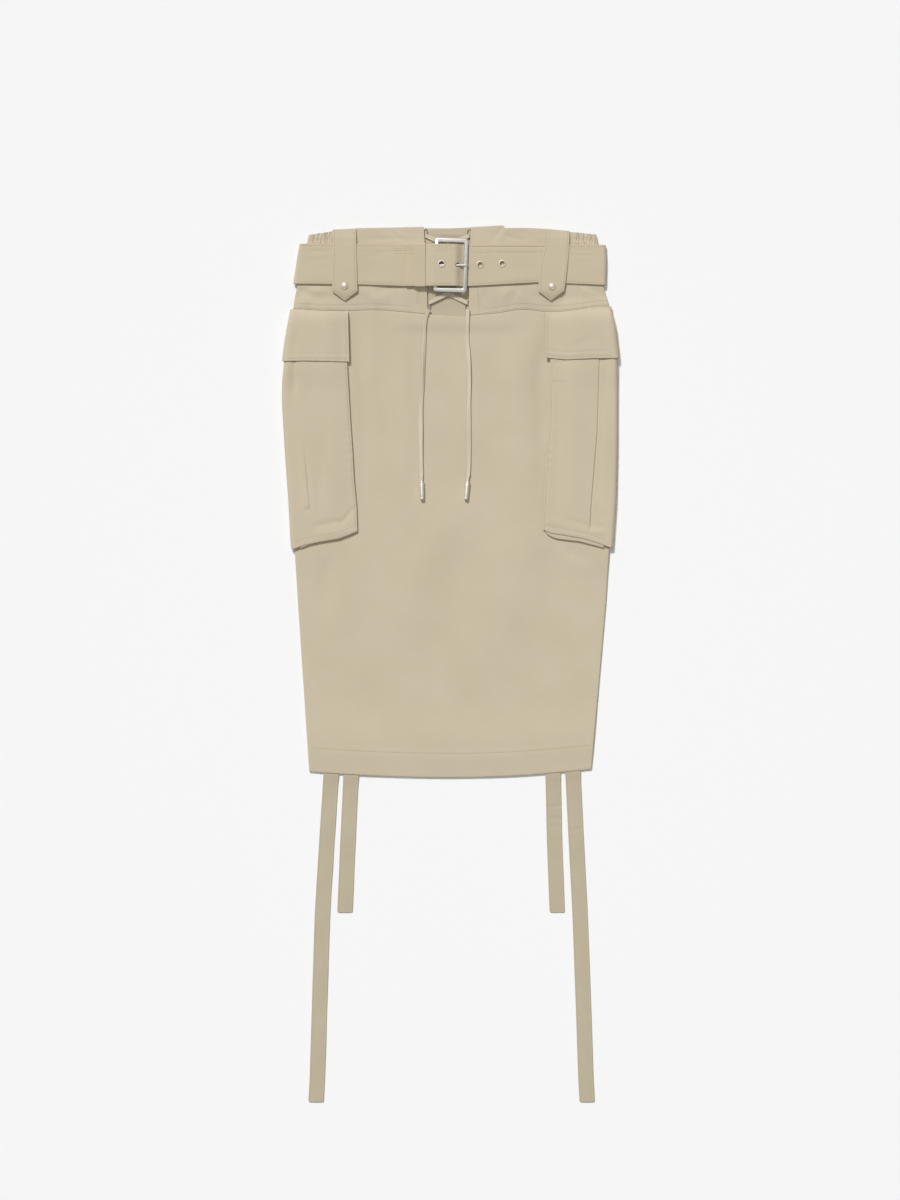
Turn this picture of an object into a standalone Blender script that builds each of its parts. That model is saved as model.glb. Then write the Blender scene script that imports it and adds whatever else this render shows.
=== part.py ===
"""A cargo skirt laid flat, front side up: a tube of cloth with a laced front, a belt, two pockets and four hem straps.

X runs across the skirt, Y from the hem to the waist and Z up from the surface that it lies on. The origin is
on that surface, under the middle of the whole length. Sizes and tables are in millimetres.
"""

import math
from collections import namedtuple

import bmesh
import bpy
import numpy as np
from mathutils import Vector

MM = 0.001

# Cloth thicknesses and the gaps between layers
WALL = 1.2
BELT_WALL = 1.6
FLAP_WALL = 1.3
GUSSET_WALL = 1.0
GUSSET_SLOT = 0.6
KEEPER_WALL = 1.0
STRAP_WALL = 1.1
TAPE_WALL = 1.0
GAP = 0.3
SEAM_GAP = 0.4
LAYER_GAP = 0.5
HOLLOW = 1.7
SIDE_ROUND = WALL + HOLLOW / 2 - GAP

# Smooth changes of level, each from where it starts to where it ends
Zone = namedtuple("Zone", "start end")
BACK_OVER_BELT = Zone(455, 488)
BACK_OVER_POCKETS = Zone(106, 146)
BACK_OVER_FLAPS = Zone(352, 388)
BACK_OUT_TO_POCKETS = Zone(128, 164)
BACK_ABOVE_FLAPS = Zone(462, 488)
FRONT_OVER_UNDERLAP = Zone(426, 444)
FRONT_BESIDE_UNDERLAP = Zone(60, 95)
FRONT_UNDER_BELT = Zone(484, 492)
YOKE_GATHERS = Zone(500, 530)
LACING_MIDDLE = 8.0

# Levels of the seams and the waist, and how the hem curves up to the side seams
SEAM_Y = 457.0
BACK_SEAM_Y = 458.0
WAIST_Y = 564.0
BACK_HEM_SHORT = 1.0
HEM_LOW = -147.0
HEM_RISE_LEFT = 7.5
HEM_RISE_RIGHT = 11.0
HEM_HALF = 183.0

Side = namedtuple("Side", "y left right")
BODY_SIDES = (
    Side(568, -182, 187),
    Side(556, -184, 189),
    Side(538, -188, 193),
    Side(492, -198, 196),
    Side(484, -200.5, 200),
    Side(473, -203, 204),
    Side(460, -204, 206),
    Side(440, -206, 207.5),
    Side(414, -209.5, 209.5),
    Side(394, -212.5, 210.8),
    Side(343, -214, 211.6),
    Side(278, -210.6, 211.6),
    Side(213, -206, 210),
    Side(160, -203, 206.6),
    Side(83, -198.4, 202),
    Side(18, -194.1, 196.4),
    Side(-47, -189.7, 190.8),
    Side(-112, -185.4, 185.1),
    Side(-147, -183, 182),
)

# Columns of the panels and yokes round their two sides, in quarter turns past the flat
ROUND_LEFT = [-1.0, -0.88, -0.45]
ROUND_RIGHT = [1.45, 1.88, 2.0]

# The seam between the yoke and the panel below it, on the front
SeamPoint = namedtuple("SeamPoint", "x y")
SEAM = (
    SeamPoint(-206, 460.3),
    SeamPoint(-168, 457.9),
    SeamPoint(-133, 457.9),
    SeamPoint(-96, 459.4),
    SeamPoint(-68, 457.2),
    SeamPoint(-35, 454.1),
    SeamPoint(11, 450.3),
    SeamPoint(38, 453.3),
    SeamPoint(59, 454.3),
    SeamPoint(89, 459.9),
    SeamPoint(103, 459.4),
    SeamPoint(123, 456.6),
    SeamPoint(143, 456.6),
    SeamPoint(163, 458.8),
    SeamPoint(198, 464.0),
    SeamPoint(208, 463.3),
)

# The waist's upper edge, and the two edges of the laced opening
TopPoint = namedtuple("TopPoint", "x y")
WAIST_TOP = (
    TopPoint(-184, 556),
    TopPoint(-157, 560),
    TopPoint(-144, 563.5),
    TopPoint(-118, 565),
    TopPoint(-35, 566.5),
    TopPoint(24, 566),
    TopPoint(68, 568.4),
    TopPoint(70.5, 565),
    TopPoint(100, 565.4),
    TopPoint(129, 563.8),
    TopPoint(155, 560),
    TopPoint(189, 556.5),
)
Opening = namedtuple("Opening", "y left right")
OPENING = (
    Opening(567, -34.6, 26.3),
    Opening(491, -31.0, 24.0),
    Opening(450, -29.5, 23.3),
)
UNDERLAP_LEFT = -50.0
UNDERLAP_RIGHT = 69.0
UNDERLAP_TUCK = 8.0
UNDERLAP_RISE = 1.8
UNDERLAP_TOP = 562.6
UNDERLAP_TOP_SLOPE = 5.6

# Soft folds of the front panel and the yokes, each a low ridge from one point to another
Fold = namedtuple("Fold", "x1 y1 x2 y2 height spread")
FOLDS = (
    Fold(-68, 430, -62, 150, 1.3, 12),
    Fold(-32, 420, -38, 190, 1.0, 10),
    Fold(46, 444, 50, 398, 1.1, 12),
    Fold(90, 450, 96, 220, 1.5, 12),
    Fold(-106, 440, -100, 230, 1.2, 10),
    Fold(-128, 138, -168, 40, 1.5, 10),
    Fold(-160, 140, -186, 60, 1.0, 8),
    Fold(150, 128, 190, 146, 1.2, 8),
    Fold(40, 120, 60, -60, 0.9, 22),
    Fold(-80, 60, -60, -90, 0.8, 22),
    Fold(-196, 468, -160, 487, 1.4, 7),
    Fold(-100, 470, -66, 486, 1.0, 9),
    Fold(84, 480, 108, 468, 1.0, 9),
    Fold(160, 486, 196, 472, 1.3, 7),
)
FOLD_LIMIT = 2.1

# Elastic gathers at the two ends of the waist
GATHER_PITCH = 3.25
GATHER_DEPTH = 0.8
GATHER_LEFT = -151.0
GATHER_RIGHT = 154.0
GATHER_FADE = 4.0

# Belt, its ends on the front and its stack at the buckle
BELT_FRONT_Z = 9.4
BELT_SIDE_DROP = 2.1
BELT_TIP = -49.0
BELT_FOLD_END = -58.0
BeltEdge = namedtuple("BeltEdge", "x top bottom")
BELT_EDGES = (
    BeltEdge(-204, 544.9, 492.8),
    BeltEdge(-110, 544.3, 491.5),
    BeltEdge(-60, 543.6, 489.4),
    BeltEdge(22, 543.3, 489.2),
    BeltEdge(77, 543.6, 492.3),
    BeltEdge(116, 543.6, 494.6),
    BeltEdge(202, 543.0, 491.0),
)
BeltEnd = namedtuple("BeltEnd", "y left right")
BELT_ENDS = (
    BeltEnd(545, -195.8, 201.2),
    BeltEnd(524, -199.5, 202.4),
    BeltEnd(491, -204.4, 201.6),
)

# Buckle frame, prong and eyelets
BUCKLE_X = 0.3
BUCKLE_Y = 516.2
BUCKLE_WIDTH = 44.0
BUCKLE_HEIGHT = 70.0
BUCKLE_BAR = 5.5
BUCKLE_THICK = 2.7
BUCKLE_CORNER = 6.0
BUCKLE_TURN = -2.0
BAR_X = -18.5
LOOP_END = -15.0
PRONG_Y = 516.0
PRONG_RADIUS = 0.8
PRONG_WIDEN = 1.8
PRONG_TIP = 22.5
PRONG_SLOT_HALF = 2.6
STRAP_DIP_START = 3.5
STRAP_DIP_END = 15.5
STACK_SETTLE_START = -33.0
STACK_SETTLE_END = -22.0
PRONG_HOLE = 2.4
PRONG_HOLE_STRETCH = 1.75
EYELET_HOLE = 3.2
EyeletPlace = namedtuple("EyeletPlace", "x y")
EYELETS = (EyeletPlace(-11.9, 517.5), EyeletPlace(38.2, 517.2), EyeletPlace(66.8, 518.5))
KEEPER_X = -39.4
KEEPER_WIDTH = 13.7

# Levels of the stack at the buckle: the frame, the belt's folded end over it and the free end on top
BAR_LOW = BELT_FRONT_Z + BELT_WALL + GAP
BAR_HIGH = BAR_LOW + BUCKLE_THICK
FOLD_UNDER = BAR_HIGH + GAP
TIP_UNDER = FOLD_UNDER + BELT_WALL + GAP
SETTLED_FOLD = BAR_LOW
SETTLED_TIP = SETTLED_FOLD + BELT_WALL + GAP

# Belt loops with pointed ends, and their snaps
LoopEdge = namedtuple("LoopEdge", "y left right")
LOOP_LEFT = (
    LoopEdge(564, -152.9, -122.5),
    LoopEdge(524, -153.2, -121.6),
    LoopEdge(483, -153.7, -120.4),
)
LOOP_RIGHT = (
    LoopEdge(562, 126.2, 154.3),
    LoopEdge(546, 124.0, 154.0),
    LoopEdge(525, 117.1, 152.4),
    LoopEdge(495, 113.8, 149.2),
    LoopEdge(483, 113.2, 147.0),
)
LOOP_TOP = {"left": (563.0, 564.2), "right": (563.4, 561.2)}
LOOP_ONTO_BELT = Zone(474, 485)
LOOP_OFF_BELT = Zone(549, 559)
LOOP_POINT_Y = 470.2
LOOP_CORNER_Y = 483.0
LOOP_Z = 9.4
SNAP_RADIUS = 4.6
SnapPlace = namedtuple("SnapPlace", "side x y")
SNAPS = (SnapPlace("left", -137.3, 490.1), SnapPlace("right", 131.3, 489.2))

# Pockets, given by their inner edges, their outlines at the side and their lower edges
POCKET_TOP = 438.0
POCKET_RISE = LAYER_GAP + 2 * GUSSET_WALL + GUSSET_SLOT + GAP
POCKET_BACK_END = 174.0
PocketEdge = namedtuple("PocketEdge", "y left right")
POCKET_INNER = (
    PocketEdge(440, -134.5, 129.4),
    PocketEdge(390, -134.2, 129.2),
    PocketEdge(310, -129.7, 127.9),
    PocketEdge(278, -127.3, 124.3),
    PocketEdge(237, -125.2, 122.0),
    PocketEdge(206, -122.0, 120.0),
    PocketEdge(168, -120.7, 119.2),
)
POCKET_OUTLINE = (
    PocketEdge(440, -209.2, 211.0),
    PocketEdge(414, -213.4, 214.0),
    PocketEdge(394, -215.6, 216.0),
    PocketEdge(388, -216.0, 216.2),
    PocketEdge(368, -218.6, 216.6),
    PocketEdge(340, -219.0, 216.6),
    PocketEdge(278, -215.3, 216.4),
    PocketEdge(213, -210.7, 215.0),
    PocketEdge(160, -207.7, 211.5),
    PocketEdge(145, -206.8, 210.5),
)
PocketBottom = namedtuple("PocketBottom", "across left right gusset_left gusset_right")
POCKET_BOTTOM = (
    PocketBottom(0.00, 172.0, 174.6, 172.6, 163.0),
    PocketBottom(0.12, 167.6, 169.4, 168.2, 156.4),
    PocketBottom(0.30, 162.2, 167.3, 162.8, 154.0),
    PocketBottom(0.60, 158.2, 162.6, 158.8, 152.4),
    PocketBottom(0.85, 153.8, 156.0, 154.4, 148.6),
    PocketBottom(1.00, 149.5, 151.3, 150.1, 147.0),
)
PLEAT_LINE = (PocketEdge(440, -193, 193), PocketEdge(300, -189, 189.5), PocketEdge(160, -181, 181))
PLEAT_DEPTH = 0.8
PLEAT_SPREAD = 2.2

# Folded gusset strips between the pockets and the panel
GUSSET_DEPTH = 14.0
GUSSET_INSET = 0.5

# Pocket flaps
FLAP_TOP = 460.0
FLAP_SIDES = (
    PocketEdge(460, -207.5, 208.8),
    PocketEdge(437, -212.2, 214.2),
    PocketEdge(412, -216.4, 217.0),
    PocketEdge(392, -218.6, 219.0),
)
FLAP_INNER = (
    PocketEdge(460, -132.9, 123.6),
    PocketEdge(430, -132.2, 122.6),
    PocketEdge(392, -131.2, 123.0),
)
FlapBottom = namedtuple("FlapBottom", "across left right")
FLAP_BOTTOM = (
    FlapBottom(0.0, 391.4, 396.6),
    FlapBottom(0.3, 391.8, 394.0),
    FlapBottom(0.7, 392.4, 395.6),
    FlapBottom(1.0, 392.2, 396.0),
)

# Lacing: rings down the two edges, flat strands between them, and the free ends
RING_ROWS = (558.3, 527.2, 496.1, 465.0)
RING_WIRE = 0.7
RING_HALF_WIDTH = 2.6
RING_HALF_HEIGHT = 5.8
RING_OUT = 1.5
RING_POINTS = 10
STRAND_WIDTH = 5.0
STRAND_SHIFT = 3.0
CORD_RADIUS = 1.5
CORD_CLEAR = 0.8
CordPoint = namedtuple("CordPoint", "x y")
CORD_LEFT = (
    CordPoint(-28.6, 460.0),
    CordPoint(-29.8, 455.0),
    CordPoint(-32.6, 446.0),
    CordPoint(-34.0, 432.0),
    CordPoint(-34.6, 404.0),
    CordPoint(-35.4, 371.0),
    CordPoint(-38.6, 330.0),
    CordPoint(-38.8, 295.0),
    CordPoint(-38.2, 262.0),
    CordPoint(-37.6, 237.0),
)
CORD_RIGHT = (
    CordPoint(22.4, 460.0),
    CordPoint(22.2, 455.0),
    CordPoint(22.0, 444.0),
    CordPoint(21.6, 420.0),
    CordPoint(23.6, 390.0),
    CordPoint(24.4, 365.0),
    CordPoint(23.6, 330.0),
    CordPoint(24.0, 262.0),
    CordPoint(22.0, 237.0),
)
CORD_STEP = 8.0
TIP_RADIUS = 2.85
TIP_LENGTH = 23.7

# Straps sewn inside the hem: the line that each one follows
STRAP_WIDTH = 20.0
STRAP_ROOT = -72.0
STRAP_CLIP = 1.5
StrapLine = namedtuple("StrapLine", "y left_long left_short right_short right_long")
STRAP_LINES = (
    StrapLine(-72, -150.0, -125.0, 131.4, 156.0),
    StrapLine(-149, -155.5, -129.5, 133.1, 159.1),
    StrapLine(-229, -160.7, -133.4, 134.8, 163.0),
    StrapLine(-323, -166.5, -137.3, 138.4, 167.9),
    StrapLine(-437, -170.1, -141.0, 142.0, 172.1),
    StrapLine(-541, -173.2, -145.0, 146.0, 175.6),
    StrapLine(-569, -175.0, -146.0, 147.0, 177.3),
)
STRAP_ENDS = {"left_long": -569.0, "left_short": -323.0, "right_short": -323.0, "right_long": -569.0}

# Finishes: colour, roughness and metallic value
Finish = namedtuple("Finish", "colour roughness metallic")
TWILL = Finish((0.57, 0.49, 0.36), 0.85, 0.0)
BELT_TWILL = Finish((0.55, 0.47, 0.34), 0.85, 0.0)
TAPE_TWILL = Finish((0.50, 0.42, 0.30), 0.85, 0.0)
CORD_COTTON = Finish((0.50, 0.44, 0.32), 0.9, 0.0)
BRUSHED_STEEL = Finish((0.62, 0.61, 0.57), 0.35, 1.0)
PALE_STEEL = Finish((0.78, 0.74, 0.68), 0.3, 1.0)


def ease(start, end, value):
    """0 up to start, 1 from end on, and a smooth rise between."""
    part = min(max((value - start) / (end - start), 0.0), 1.0)
    return part * part * (3 - 2 * part)


def read(table, key, column, value, blur=0.0):
    """The table's column at a value of its key, with its corners softened over the blur."""
    keys = np.array([getattr(row, key) for row in table], float)
    values = np.array([getattr(row, column) for row in table], float)
    order = np.argsort(keys)
    looks = value + blur * np.linspace(-1, 1, 5)
    return float(np.mean(np.interp(looks, keys[order], values[order])))


def spread(start, end, count):
    return [float(value) for value in np.linspace(start, end, count)]


def body_side(side, y):
    return read(BODY_SIDES, "y", side, y, blur=12)


def seam_y(x):
    return read(SEAM, "x", "y", x, blur=9)


def hem_y(x):
    rise = HEM_RISE_LEFT if x < 0 else HEM_RISE_RIGHT
    return HEM_LOW + rise * (x / HEM_HALF) ** 2


def back_lift(x, y):
    """Height of the back's underside: the belt and the wrapped pockets and flaps lie under it."""
    over_belt = (BELT_WALL + GAP) * ease(*BACK_OVER_BELT, y)
    over_pocket = (WALL + GAP) * ease(*BACK_OVER_POCKETS, y)
    over_flap = (FLAP_WALL + GAP) * ease(*BACK_OVER_FLAPS, y)
    beside_pocket = ease(*BACK_OUT_TO_POCKETS, abs(x)) * (1 - ease(*BACK_ABOVE_FLAPS, y))
    return max(over_belt, beside_pocket * (over_pocket + over_flap))


def fold_height(x, y):
    """The soft folds' ridges at a point."""
    total = 0.0
    for fold in FOLDS:
        run = Vector((fold.x2 - fold.x1, fold.y2 - fold.y1))
        here = Vector((x - fold.x1, y - fold.y1))
        part = min(max(here.dot(run) / run.length_squared, 0.0), 1.0)
        away = (here - run * part).length
        total += fold.height * math.exp(-((away / fold.spread) ** 2))
    return min(total, FOLD_LIMIT)


def front_top(x, y):
    """Height of the front's upper face, over the hollow, the underlap and the folds."""
    beside_opening = 1 - ease(*FRONT_BESIDE_UNDERLAP, abs(x - LACING_MIDDLE))
    underlap = UNDERLAP_RISE * beside_opening * ease(*FRONT_OVER_UNDERLAP, y)
    under_belt = ease(*FRONT_UNDER_BELT, y)
    return back_lift(x, y) + 2 * WALL + HOLLOW + underlap + (1 - under_belt) * fold_height(x, y)


def new_material(name, finish):
    material = bpy.data.materials.new(name)
    material.use_nodes = True
    shader = material.node_tree.nodes["Principled BSDF"]
    shader.inputs["Base Color"].default_value = (*finish.colour, 1)
    shader.inputs["Roughness"].default_value = finish.roughness
    shader.inputs["Metallic"].default_value = finish.metallic
    return material


def new_object(name, data, finish):
    obj = bpy.data.objects.new(name, data)
    data.materials.append(new_material(name, finish))
    skirt.objects.link(obj)
    return obj


def sheet(name, finish, columns, rows, place, wall, inward=-1):
    """A cut piece: a grid moved to its outer face and thickened, inwards or to its other side."""
    mesh = bpy.data.meshes.new(name)
    grid = bmesh.new()
    bmesh.ops.create_grid(grid, x_segments=len(columns) - 1, y_segments=len(rows) - 1, size=1)
    for vert in grid.verts:
        column = columns[round((vert.co.x + 1) / 2 * (len(columns) - 1))]
        row = rows[round((vert.co.y + 1) / 2 * (len(rows) - 1))]
        vert.co = Vector(place(column, row)) * MM
    grid.to_mesh(mesh)
    grid.free()
    obj = new_object(name, mesh, finish)
    thickness = obj.modifiers.new("wall", "SOLIDIFY")
    thickness.thickness = wall * MM
    thickness.offset = inward
    thickness.use_even_offset = True
    return obj


def raise_outer(obj, relief):
    """Moves the outer points of a wall up by a relief, over its plain inside."""
    bpy.context.view_layer.update()
    graph = bpy.context.evaluated_depsgraph_get()
    shaped = bpy.data.meshes.new_from_object(obj.evaluated_get(graph))
    obj.modifiers.clear()
    obj.data = shaped
    for vert in shaped.vertices:
        if vert.normal.z > 0.5:
            vert.co.z += relief(vert.co.x / MM, vert.co.y / MM) * MM


def turned(name, finish, profile, steps, place):
    """A turned piece from a profile of (radius, height) that runs down its outer side."""
    mesh = bpy.data.meshes.new(name)
    mesh.from_pydata([(radius * MM, 0, height * MM) for radius, height in profile], [], [])
    mesh.edges.add(len(profile))
    for index, edge in enumerate(mesh.edges):
        edge.vertices = (index, (index + 1) % len(profile))
    obj = new_object(name, mesh, finish)
    screw = obj.modifiers.new("turn", "SCREW")
    screw.steps = steps
    screw.render_steps = steps
    screw.use_merge_vertices = True
    screw.merge_threshold = 0.000001
    obj.location = Vector(place) * MM
    return obj


def tube(name, finish, points, radius, closed=False, sides=2):
    """A round cord or wire along a list of points."""
    curve = bpy.data.curves.new(name, "CURVE")
    curve.dimensions = "3D"
    curve.bevel_depth = radius * MM
    curve.bevel_resolution = sides
    curve.use_fill_caps = not closed
    spline = curve.splines.new("POLY")
    spline.points.add(len(points) - 1)
    for target, point in zip(spline.points, points):
        target.co = (*(Vector(point) * MM), 1)
    spline.use_cyclic_u = closed
    return new_object(name, curve, finish)


def rounded_outline(width, height, corner, corner_steps=4):
    """Points of a rectangle with round corners, centred on the origin."""
    points = []
    for quarter, (side_x, side_y) in enumerate(((1, 1), (-1, 1), (-1, -1), (1, -1))):
        for step in range(corner_steps + 1):
            angle = math.radians(90 * (quarter + step / corner_steps))
            x = side_x * (width / 2 - corner) + corner * math.cos(angle)
            y = side_y * (height / 2 - corner) + corner * math.sin(angle)
            points.append((x, y))
    return points


def flat_ring(name, finish, width, height, wall, corner, half_depth, edge=0.0):
    """A flat frame cut from a plate, as the buckle and the keeper's loop are."""
    curve = bpy.data.curves.new(name, "CURVE")
    curve.dimensions = "2D"
    curve.fill_mode = "BOTH"
    curve.extrude = (half_depth - edge) * MM
    curve.bevel_depth = edge * MM
    curve.bevel_resolution = 0
    inner_corner = max(corner - wall, 0.4)
    outlines = (
        rounded_outline(width - 2 * edge, height - 2 * edge, corner - edge),
        rounded_outline(width - 2 * wall + 2 * edge, height - 2 * wall + 2 * edge, inner_corner + edge),
    )
    for outline in outlines:
        spline = curve.splines.new("POLY")
        spline.points.add(len(outline) - 1)
        for target, (x, y) in zip(spline.points, outline):
            target.co = (x * MM, y * MM, 0, 1)
        spline.use_cyclic_u = True
    return new_object(name, curve, finish)


def new_cutter(name, mesh):
    obj = bpy.data.objects.new(name, mesh)
    obj.hide_render = True
    obj.display_type = "WIRE"
    cutters.objects.link(obj)
    return obj


def round_cutter(name, x, y, low, high, radius, stretch=1.0):
    """An upright round cutter, which may be stretched along X."""
    mesh = bpy.data.meshes.new(name)
    shape = bmesh.new()
    bmesh.ops.create_cone(
        shape, cap_ends=True, segments=16, radius1=radius * MM, radius2=radius * MM, depth=(high - low) * MM
    )
    bmesh.ops.scale(shape, vec=(stretch, 1, 1), verts=shape.verts)
    shape.to_mesh(mesh)
    shape.free()
    cutter = new_cutter(name, mesh)
    cutter.location = Vector((x, y, (low + high) / 2)) * MM
    return cutter


def block_cutter(name, low, high):
    mesh = bpy.data.meshes.new(name)
    shape = bmesh.new()
    bmesh.ops.create_cube(shape, size=MM)
    bmesh.ops.scale(shape, vec=[b - a for a, b in zip(low, high)], verts=shape.verts)
    shape.to_mesh(mesh)
    shape.free()
    cutter = new_cutter(name, mesh)
    cutter.location = Vector([(a + b) / 2 for a, b in zip(low, high)]) * MM
    return cutter


def cut(obj, cutter):
    hole = obj.modifiers.new(cutter.name, "BOOLEAN")
    hole.operation = "DIFFERENCE"
    hole.object = cutter


def front_face(f, y, flat_from, flat_to):
    """The front's upper face: f from 0 to 1 crosses the flat, and past either end turns down to the side."""
    x = flat_from + (flat_to - flat_from) * min(max(f, 0.0), 1.0)
    turn = math.pi / 2 * max(-f, f - 1, 0.0)
    reach = SIDE_ROUND * math.sin(turn) * (1 if f > 1 else -1)
    return x + reach, y, front_top(x, y) - SIDE_ROUND * (1 - math.cos(turn))


def back_face(f, y, flat_from, flat_to):
    """The back's underside, which turns up to the side seams as the front turns down."""
    x = flat_from + (flat_to - flat_from) * min(max(f, 0.0), 1.0)
    turn = math.pi / 2 * max(-f, f - 1, 0.0)
    reach = SIDE_ROUND * math.sin(turn) * (1 if f > 1 else -1)
    return x + reach, y, back_lift(x, y) + SIDE_ROUND * (1 - math.cos(turn))


def x_across(f, y, from_edge, to_edge):
    """Where a column of the front crosses a level, between the sides or an edge of the opening."""
    edges = []
    for edge in (from_edge, to_edge):
        if edge.startswith("opening"):
            edges.append(read(OPENING, "y", edge.split("_")[1], y))
        else:
            edges.append(body_side(edge, y) + SIDE_ROUND * (1 if edge == "left" else -1))
    return edges[0] + (edges[1] - edges[0]) * min(max(f, 0.0), 1.0)


def build_panels():
    """Front and back panels, from the yoke seam to the hem."""
    columns = ROUND_LEFT + spread(0, 1, 22) + ROUND_RIGHT
    rows = spread(0, 0.4, 7) + spread(0.45, 0.8, 9) + spread(0.84, 0.98, 5) + [1.0]

    def front(f, v):
        low = hem_y(x_across(f, HEM_LOW, "left", "right"))
        high = seam_y(x_across(f, SEAM_Y, "left", "right")) - SEAM_GAP / 2
        y = low + (high - low) * v
        return front_face(f, y, body_side("left", y) + SIDE_ROUND, body_side("right", y) - SIDE_ROUND)

    def back(f, v):
        low = hem_y(x_across(f, HEM_LOW, "left", "right")) + BACK_HEM_SHORT
        y = low + (BACK_SEAM_Y - SEAM_GAP / 2 - low) * v
        return back_face(f, y, body_side("left", y) + SIDE_ROUND, body_side("right", y) - SIDE_ROUND)

    sheet("front_panel", TWILL, columns, rows, front, WALL)
    back_columns = ROUND_LEFT + [0.0, 0.06, 0.12, 0.18, 0.35, 0.5, 0.65, 0.82, 0.88, 0.94, 1.0] + ROUND_RIGHT
    sheet("back_panel", TWILL, back_columns, rows, back, WALL, inward=1)


def gathers(x, y):
    """Elastic gathers at the ends of the waist, fading under the belt."""
    if x < 0:
        zone = ease(GATHER_LEFT, GATHER_LEFT - GATHER_FADE, x)
    else:
        zone = ease(GATHER_RIGHT, GATHER_RIGHT + GATHER_FADE, x)
    wave = 0.5 + 0.5 * math.cos(2 * math.pi * x / GATHER_PITCH)
    return GATHER_DEPTH * zone * wave * ease(*YOKE_GATHERS, y)


def build_yokes():
    """The two front yokes beside the laced opening, the back yoke and the underlap."""
    rows = [0.0, 0.15, 0.3, 0.44, 0.72, 1.0]
    waves = 33

    def yoke(side):
        from_edge, to_edge = ("left", "opening_left") if side == "left" else ("opening_right", "right")

        def place(f, v):
            low = seam_y(x_across(f, SEAM_Y, from_edge, to_edge)) + SEAM_GAP / 2
            high = read(WAIST_TOP, "x", "y", x_across(f, WAIST_Y, from_edge, to_edge))
            y = low + (high - low) * v
            edge = read(OPENING, "y", side, y)
            if side == "left":
                return front_face(f, y, body_side("left", y) + SIDE_ROUND, edge)
            return front_face(f, y, edge, body_side("right", y) - SIDE_ROUND)

        return place

    left_columns = ROUND_LEFT + spread(0, 0.205, waves) + [0.3, 0.4, 0.5, 0.6, 0.7, 0.8, 0.9, 1.0]
    right_columns = [0.0, 0.12, 0.24, 0.263, 0.277, 0.37, 0.47, 0.57, 0.66, 0.73]
    right_columns += spread(1 - 0.195, 1, waves) + ROUND_RIGHT
    raise_outer(sheet("front_yoke_left", TWILL, left_columns, rows, yoke("left"), WALL), gathers)
    raise_outer(sheet("front_yoke_right", TWILL, right_columns, rows, yoke("right"), WALL), gathers)

    def back(f, v):
        low = BACK_SEAM_Y + SEAM_GAP / 2
        high = read(WAIST_TOP, "x", "y", x_across(f, WAIST_Y, "left", "right"), blur=12) - 1.0
        y = low + (high - low) * v
        return back_face(f, y, body_side("left", y) + SIDE_ROUND, body_side("right", y) - SIDE_ROUND)

    back_columns = ROUND_LEFT + [0.0, 0.06, 0.12, 0.18, 0.35, 0.5, 0.65, 0.82, 0.88, 0.94, 1.0] + ROUND_RIGHT
    sheet("back_yoke", TWILL, back_columns, [0, 0.08, 0.16, 0.24, 0.32, 0.6, 1.0], back, WALL, inward=1)

    def underlap(f, v):
        x = UNDERLAP_LEFT + (UNDERLAP_RIGHT - UNDERLAP_LEFT) * f
        low = seam_y(x) - UNDERLAP_TUCK
        high = UNDERLAP_TOP + UNDERLAP_TOP_SLOPE * f
        y = low + (high - low) * v
        return x, y, back_lift(x, y) + WALL + GAP

    sheet("lacing_underlap", TWILL, spread(0, 1, 7), spread(0, 1, 8), underlap, WALL, inward=1)


def wrapped(s, top, inner, outline, under, sign):
    """A section that crosses the front to the side, turns round it and runs back underneath.

    s from 0 to 1 crosses the front, 1 to 2 turns round the side and 2 to 3 runs under the back.
    """
    radius = (top(outline - sign * 5) - under) / 2
    turn_x = outline - sign * radius
    if s <= 1:
        x = inner + (turn_x - inner) * s
        return x, top(x) if s < 1 else under + 2 * radius
    if s <= 2:
        angle = math.pi * (s - 1)
        return turn_x + sign * radius * math.sin(angle), under + radius * (1 + math.cos(angle))
    return turn_x + (sign * POCKET_BACK_END - turn_x) * (s - 2), under


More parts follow.
